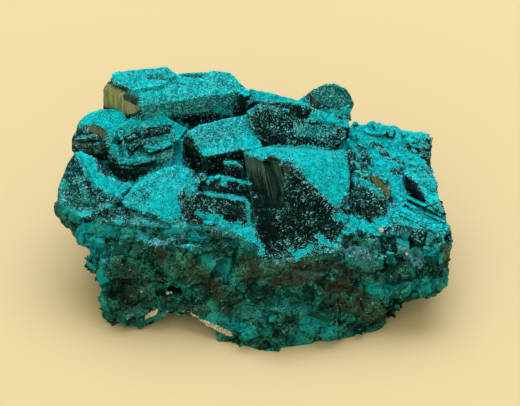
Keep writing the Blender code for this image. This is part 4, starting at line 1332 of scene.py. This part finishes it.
SMALL_CRYSTALS = [
    Seat(248.5, 90, 1.0, 3.0, 90, 75, 0.45, 0.9),
    Seat(248, 96, 1.1, 3.0, 60, 70, 0.45, 0.4),
    Seat(349.5, 123, 0.7, 1.6, 70, 75, 0.45, 1.0),
    Seat(247.5, 99, 1.1, 2.2, 20, 60, 0.5, 0.4),
    Seat(247, 104, 1.2, 2.0, 300, 50, 0.5, 0.3),
    Seat(353, 130, 0.9, 1.3, 40, 60, 0.3, 0.9),
    Seat(362, 128, 1.1, 1.4, 200, 65, 0.3, 0.9),
    Seat(374, 126, 0.9, 1.2, 300, 50, 0.3, 0.9),
    Seat(385, 125, 1.2, 1.5, 30, 70, 0.3, 0.7),
    Seat(393, 128, 0.8, 1.2, 120, 50, 0.3, 0.9),
    Seat(402, 130, 1.1, 1.5, 340, 60, 0.3, 0.6),
    Seat(412, 133, 0.9, 1.4, 60, 60, 0.3, 0.9),
    Seat(421, 138, 1.2, 1.4, 10, 55, 0.3, 0.6),
    Seat(427, 145, 1.1, 1.8, 350, 45, 0.3, 0.3),
    Seat(427, 156, 1.0, 1.8, 340, 40, 0.3, 0.3),
    Seat(347, 156, 0.9, 1.4, 250, 40, 0.3, 0.2),
    Seat(351, 166, 0.8, 1.3, 300, 40, 0.3, 0.2),
    Seat(365, 156, 1.1, 1.8, 330, 35, 0.3, 0.3),
    Seat(384, 155, 0.8, 1.4, 290, 35, 0.3, 0.3),
    Seat(396, 173, 0.9, 1.5, 290, 35, 0.3, 0.3),
    Seat(358, 176, 1.7, 2.2, 285, 50, 0.45, 0.3),
    Seat(378, 185, 2.2, 2.6, 305, 62, 0.45, 0.3, 1.0),
    Seat(366, 197, 2.6, 3.0, 262, 48, 0.5, 0.3),
    Seat(356, 207, 1.3, 2.0, 240, 35, 0.4, 0.2),
    Seat(432, 188, 0.8, 1.5, 340, 40, 0.3, 0.7),
    Seat(437, 206, 0.9, 1.6, 330, 35, 0.3, 0.5),
    Seat(400, 240, 1.6, 2.2, 262, 30, 0.4, 0.15),
    Seat(352, 239, 1.7, 2.2, 250, 35, 0.4, 0.1),
    Seat(424, 238, 1.4, 2.6, 320, 25, 0.4, 0.15),
    Seat(388, 254, 1.6, 3.0, 268, 15, 0.4, 0.05),
    Seat(193, 176, 1.0, 1.5, 300, 45, 0.3, 0.4),
    Seat(201, 179, 0.9, 1.3, 240, 40, 0.3, 0.3),
    Seat(191, 206, 1.2, 1.9, 290, 30, 0.4, 0.2),
    Seat(108, 196, 1.1, 1.8, 250, 30, 0.4, 0.25),
    Seat(120, 204, 1.2, 1.8, 280, 30, 0.4, 0.25),
    Seat(100, 215, 1.2, 1.9, 235, 25, 0.4, 0.2),
    Seat(84, 147, 1.5, 2.0, 235, 30, 0.45, 0.15, 0.6),
    Seat(102, 149, 1.1, 1.6, 280, 35, 0.4, 0.15),
    Seat(141, 147, 1.6, 2.4, 292, 35, 0.45, 0.2),
    Seat(160, 151, 1.5, 2.2, 250, 40, 0.45, 0.25),
    Seat(127, 150, 1.2, 2.0, 230, 40, 0.4, 0.2),
    Seat(297, 112, 1.5, 1.8, 280, 50, 0.45, 0.1),
    Seat(274, 106, 1.0, 1.4, 300, 60, 0.4, 0.3),
]


@dataclass
class SmallCrystals:
    """Dark prisms in the gaps, on the knot and along the skyline, each at its own seat."""

    seats: list[Seat] = field(default_factory=lambda: list(SMALL_CRYSTALS))
    laths: list[Lath] = field(default_factory=lambda: list(LATHS))
    sight: Sight = field(default_factory=Sight)
    bare: float = 0.07
    sag: float = 0.8 * MM
    shortest: float = 9.0
    overlap: float = 0.15
    edge_bevel: float = 0.07 * MM
    longest_edge: float = 0.45 * MM

    def foothold(self, across: float, down: float, tree: BVHTree) -> Vector:
        """Where a prism stands: on the surface, or between its neighbours over a gap."""
        toward = self.sight.toward()
        spots = []
        for shift in (0.0, -5.0, 5.0):
            start = self.sight.place(across + shift, down) + toward * 0.1
            spot, _, _, away = tree.ray_cast(start, -toward)
            if spot is not None and away < 0.115:
                spots.append(spot)
            if spots and shift == 0.0:
                return spots[0]
        return sum(spots, Vector()) / len(spots)

    def spans(self, start: Vector, end: Vector, tree: BVHTree) -> list[tuple[Vector, Vector]]:
        """Splits a lath wherever the surface sags away under its middle.

        Args:
            start: where it starts, in picture points.
            end: where it ends.
            tree: the surface.

        Returns:
            The two ends of every length of it.
        """
        first, last = self.foothold(*start, tree), self.foothold(*end, tree)
        halfway = (start + end) / 2.0
        if (end - start).length > self.shortest:
            sag = self.foothold(*halfway, tree) - (first + last) / 2.0
            if sag.length > self.sag:
                return self.spans(start, halfway, tree) + self.spans(halfway, end, tree)
        return [(first, last)]

    def grow(self, bm: bmesh.types.BMesh, middle: Vector, axis: Vector, radius: float, length: float,
             powder: float, bronze_sheen: float, turn: float) -> None:
        """Adds one prism about its middle.

        Args:
            bm: what it is added to.
            middle: its middle.
            axis: the way it points.
            radius: its radius, in millimetres.
            length: half its length, in millimetres.
            powder: how much powder lies on it.
            bronze_sheen: how strong the painted sheen on it is.
            turn: how far it is turned about its axis.
        """
        before = set(bm.verts)
        bm.from_mesh(prism_pattern(length / radius))
        fresh = [vert for vert in bm.verts if vert not in before]
        powder_tag = bm.verts.layers.float[Layer.POWDER.value]
        bronze_sheen_tag = bm.verts.layers.float[Layer.BRONZE_SHEEN.value]
        for vert in fresh:
            vert[powder_tag] = powder
            vert[bronze_sheen_tag] = bronze_sheen
        lay = axis.to_track_quat("Z", "Y").to_matrix().to_4x4() @ Matrix.Rotation(turn, 4, "Z")
        matrix = Matrix.Translation(middle) @ lay @ Matrix.Scale(radius * MM, 4)
        bmesh.ops.transform(bm, matrix=matrix, verts=fresh)

    def build(self, facts: "SurfaceFacts") -> bpy.types.Object:
        """Stands every prism on the surface where the eye meets it.

        Args:
            facts: the surface they stand on.

        Returns:
            The joined prisms, with powder on what looks up.
        """
        chance = random.Random(21)
        bm = bmesh.new()
        for layer in (Layer.POWDER, Layer.BRONZE_SHEEN):
            bm.verts.layers.float.new(layer.value)
        for seat in self.seats:
            spot = self.foothold(seat.across, seat.down, facts.tree)
            bearing, rise = math.radians(seat.bearing), math.radians(seat.rise)
            flat = math.cos(rise)
            axis = Vector((math.cos(bearing) * flat, math.sin(bearing) * flat, math.sin(rise)))
            middle = spot - axis * seat.length * seat.sink * 2.0 * MM
            turn = chance.uniform(0, 1)
            self.grow(bm, middle, axis, seat.radius, seat.length, seat.powder, seat.bronze_sheen, turn)
        for lath in self.laths:
            turn = chance.uniform(0, 1)
            for first, last in self.spans(Vector(lath.start), Vector(lath.end), facts.tree):
                run = last - first
                self.grow(bm, (first + last) / 2.0, run.normalized(), lath.radius,
                          run.length / 2.0 / MM + self.overlap, lath.powder, lath.bronze_sheen, turn)
        edges = [edge for edge in bm.edges if edge.calc_face_angle(0.0) > math.radians(20.0)]
        bmesh.ops.bevel(bm, geom=edges, offset=self.edge_bevel, offset_type="OFFSET", affect="EDGES",
                        segments=1, profile=0.5, material=-1)
        bmesh.ops.triangulate(bm, faces=bm.faces)
        long_edges = [edge for edge in bm.edges if edge.calc_length() > self.longest_edge]
        bmesh.ops.subdivide_edges(bm, edges=long_edges, cuts=2, use_grid_fill=True)
        bmesh.ops.recalc_face_normals(bm, faces=bm.faces)
        mesh = bpy.data.meshes.new("small_crystals")
        bm.to_mesh(mesh)
        bm.free()
        coords = mesh_coords(mesh)
        coords[:, 2] = np.maximum(coords[:, 2], 0.0)
        write_coords(mesh, coords)
        rise = smooth_step(0.35, 0.75, mesh_normals(mesh)[:, 2])
        powder = read_layer(mesh, Layer.POWDER.value)
        for layer in Layer:
            if layer not in (Layer.POWDER, Layer.BRONZE_SHEEN):
                write_layer(mesh, layer.value, np.zeros(len(coords)))
        write_layer(mesh, Layer.POWDER.value, np.minimum(self.bare, powder) + powder * rise)
        for name in ("tint_and_shade", "facet"):
            write_layer(mesh, name, np.full(len(coords), 0.6))
        write_edges(mesh)
        return placed_piece("small_crystals", mesh)


@dataclass
class ClearCrystals:
    """Short clear prisms: one in the socket at the left foot, one on the right ledge; their pale colour
    stands in for glints.
    """

    places: tuple[tuple[float, float, float], ...] = (
        (169.0, 292.0, 0.36), (172.5, 291.5, 0.22), (379.0, 230.0, 0.42), (404.0, 252.0, 0.3),
        (371.0, 139.0, 0.2),
    )
    sight: Sight = field(default_factory=Sight)

    def build(self, facts: "SurfaceFacts") -> bpy.types.Object:
        """Sets each crystal on the surface where the eye meets it.

        Args:
            facts: the surface they sit on.

        Returns:
            The joined crystals.
        """
        chance = random.Random(11)
        bm = bmesh.new()
        pattern = prism_pattern(1.2)
        toward = self.sight.toward()
        for across, down, size in self.places:
            start = self.sight.place(across, down) + toward * 0.1
            spot, normal, _, _ = facts.tree.ray_cast(start, -toward)
            before = set(bm.verts)
            bm.from_mesh(pattern)
            fresh = [vert for vert in bm.verts if vert not in before]
            angle = chance.uniform(0.6, 1.2)
            turn = Matrix.Rotation(angle, 4, Vector((chance.uniform(-1, 1), 1, 0)).normalized())
            matrix = Matrix.Translation(spot + normal * size * 0.3 * MM) @ turn @ Matrix.Scale(size * MM, 4)
            bmesh.ops.transform(bm, matrix=matrix, verts=fresh)
        mesh = bpy.data.meshes.new("clear_crystals")
        bm.to_mesh(mesh)
        bm.free()
        return placed_piece("clear_crystals", mesh)


@dataclass
class Studio:
    """A pale floor, soft light and the camera at the photograph's angle."""

    sight: Sight = field(default_factory=Sight)
    frame_size: tuple[int, int] = (520, 406)
    camera_distance: float = 0.70
    sensor: float = 36.0
    floor_size: float = 4.0
    floor_colour: Tone = colour(0.662, 0.563, 0.346)
    floor_roughness: float = 0.9
    floor_gloss: float = 0.1
    surround: Tone = colour(1.0, 0.90, 0.60)
    surround_strength: float = 0.70

    def floor(self) -> None:
        """The pale floor under the specimen."""
        bm = bmesh.new()
        bmesh.ops.create_grid(bm, x_segments=1, y_segments=1, size=self.floor_size / 2)
        mesh = bpy.data.meshes.new("floor")
        bm.to_mesh(mesh)
        bm.free()
        floor = bpy.data.objects.new("floor", mesh)
        bpy.context.scene.collection.objects.link(floor)
        material, graph, shader = new_material("floor_card")
        graph.feed(shader, {
            "Base Color": self.floor_colour,
            "Roughness": self.floor_roughness,
            "Specular IOR Level": self.floor_gloss,
        })
        mesh.materials.append(material)

    def lamp(self, name: str, place: Vector, size: float, power: float, tone: tuple) -> None:
        """A soft lamp that looks at the specimen."""
        data = bpy.data.lights.new(name, "AREA")
        data.shape = "DISK"
        data.size = size
        data.energy = power
        data.color = tone
        lamp = bpy.data.objects.new(name, data)
        lamp.location = place
        lamp.rotation_euler = (-place).to_track_quat("-Z", "Y").to_euler()
        bpy.context.scene.collection.objects.link(lamp)

    def lights(self) -> None:
        """A wide lamp overhead and a warm, even surround."""
        world = bpy.data.worlds.new("surround")
        world.use_nodes = True
        background = world.node_tree.nodes["Background"]
        background.inputs[0].default_value = self.surround
        background.inputs[1].default_value = self.surround_strength
        bpy.context.scene.world = world
        self.lamp("key", Vector((0.05, 0.30, 0.74)), 0.85, 5.0, (1.0, 1.0, 1.10))
        self.lamp("fill", Vector((-0.15, -0.60, 0.55)), 0.7, 1.2, (1.0, 0.96, 0.90))

    def camera(self) -> None:
        """The camera, far back with a long lens, square to the sighting plane."""
        data = bpy.data.cameras.new("camera")
        data.sensor_width = self.sensor
        view_width = self.frame_size[0] * self.sight.point
        data.lens = self.sensor * self.camera_distance / view_width
        data.clip_end = 10.0
        camera = bpy.data.objects.new("camera", data)
        aim = self.sight.place(self.frame_size[0] / 2, self.frame_size[1] / 2)
        camera.location = aim + self.sight.toward() * self.camera_distance
        camera.rotation_euler = (-self.sight.toward()).to_track_quat("-Z", "Y").to_euler()
        bpy.context.scene.collection.objects.link(camera)
        bpy.context.scene.camera = camera

    def build(self) -> None:
        """Sets up the floor, the lights and the camera."""
        self.floor()
        self.lights()
        self.camera()
        bpy.context.scene.view_settings.view_transform = "Standard"


def chip_weight(facts: SurfaceFacts) -> np.ndarray:
    """Chips lie on the broken sides, and not on the flat foot."""
    on_foot = (facts.centres[:, 2] < 0.7 * MM) | (facts.normals[:, 2] < -0.8)
    return facts.layer("broken") * np.where(on_foot, 0.0, 1.0)


def grain_weight(facts: SurfaceFacts) -> np.ndarray:
    """Grains lie where the powder is thick."""
    return np.clip(facts.layer("powder") - 0.35, 0.0, 1.0) ** 1.5


def glint_weight(facts: SurfaceFacts) -> np.ndarray:
    """Glints of fresh cleavage show where the broken sides stand out."""
    return chip_weight(facts) * facts.layer("tint_and_shade") ** 2


def speck_weight(facts: SurfaceFacts) -> np.ndarray:
    """Specks cling to the dark faces that hold a little powder."""
    powder = facts.layer("powder")
    return np.where((powder > 0.05) & (powder < 0.5), powder, 0.0)


def prism_weight(facts: SurfaceFacts) -> np.ndarray:
    """Little prisms stand on the powdery ground at the right and along the rims."""
    powder = facts.layer("powder")
    right = facts.centres[:, 0] > 12 * MM
    broken = facts.layer("broken")
    return np.where(right, 1.0, 0.0) * np.clip(powder - 0.3, 0.0, 1.0) + broken * (1.0 - broken) * 0.5


def loose_pieces(stone: bpy.types.Material) -> list[tuple[Scatter, bpy.types.Material]]:
    """The scattered pieces with their materials.

    Args:
        stone: the material of the specimen itself.

    Returns:
        Each piece and its material, in the order in which they are built.
    """
    chips = [chip_pattern(seed) for seed in range(6)]
    prisms = [prism_pattern(1.3), prism_pattern(2.0)]
    grains = [grain_pattern()]
    # Painted glints: pale green flecks that stand for light caught on small cleaved faces.
    cleavage = GrainFinish("cleavage_glint_paint", colour(0.01, 0.20, 0.17), colour(0.24, 0.62, 0.56), 0.3)
    powder = GrainFinish("loose_powder", colour(0.0, 0.45, 0.50), colour(0.02, 0.72, 0.75))
    specks = GrainFinish("pale_specks", colour(0.03, 0.32, 0.37), colour(0.27, 0.78, 0.85), 0.5)
    return [
        (Scatter("cleaved_chips", chips, 460, (0.35 * MM, 1.3 * MM), (0.5, 0.95), sink=0.28, lean=0.2,
                 seed=5, weigh=chip_weight, proud=0.09 * MM), stone),
        (Scatter("small_prisms", prisms, 240, (0.18 * MM, 0.42 * MM), (0.8, 1.2), sink=0.2, lean=0.7,
                 seed=6, weigh=prism_weight), stone),
        (Scatter("cleavage_glints", chips, 1100, (0.10 * MM, 0.28 * MM), (0.3, 0.7), sink=0.0, lean=0.5,
                 seed=9, weigh=glint_weight, proud=0.12 * MM), cleavage.material()),
        (Scatter("powder_grains", grains, 13000, (0.06 * MM, 0.15 * MM), (0.6, 1.2), sink=-0.1, lean=1.0,
                 seed=7, weigh=grain_weight), powder.material()),
        (Scatter("pale_specks", grains, 3000, (0.07 * MM, 0.17 * MM), (0.3, 0.8), sink=-0.05, lean=1.0,
                 seed=8, weigh=speck_weight), specks.material()),
    ]


def main() -> None:
    """Builds the specimen and its studio, piece by piece."""
    logging.basicConfig(level=logging.INFO, format="%(name)s: %(message)s")
    for name in ("Cube", "Light", "Camera"):
        if name in bpy.data.objects:
            bpy.data.objects.remove(bpy.data.objects[name])
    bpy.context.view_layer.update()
    body = SpecimenBody().build()
    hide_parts(NODE)
    facts = SurfaceFacts(body.data)
    stone = StoneFinish().material()
    body.data.materials.append(stone)
    for scatter, finish in loose_pieces(stone):
        scatter.build(facts).data.materials.append(finish)
    SmallCrystals().build(facts).data.materials.append(stone)
    ClearCrystals().build(facts).data.materials.append(ClearFinish().material())
    Studio().build()


if __name__ == "__main__":
    main()
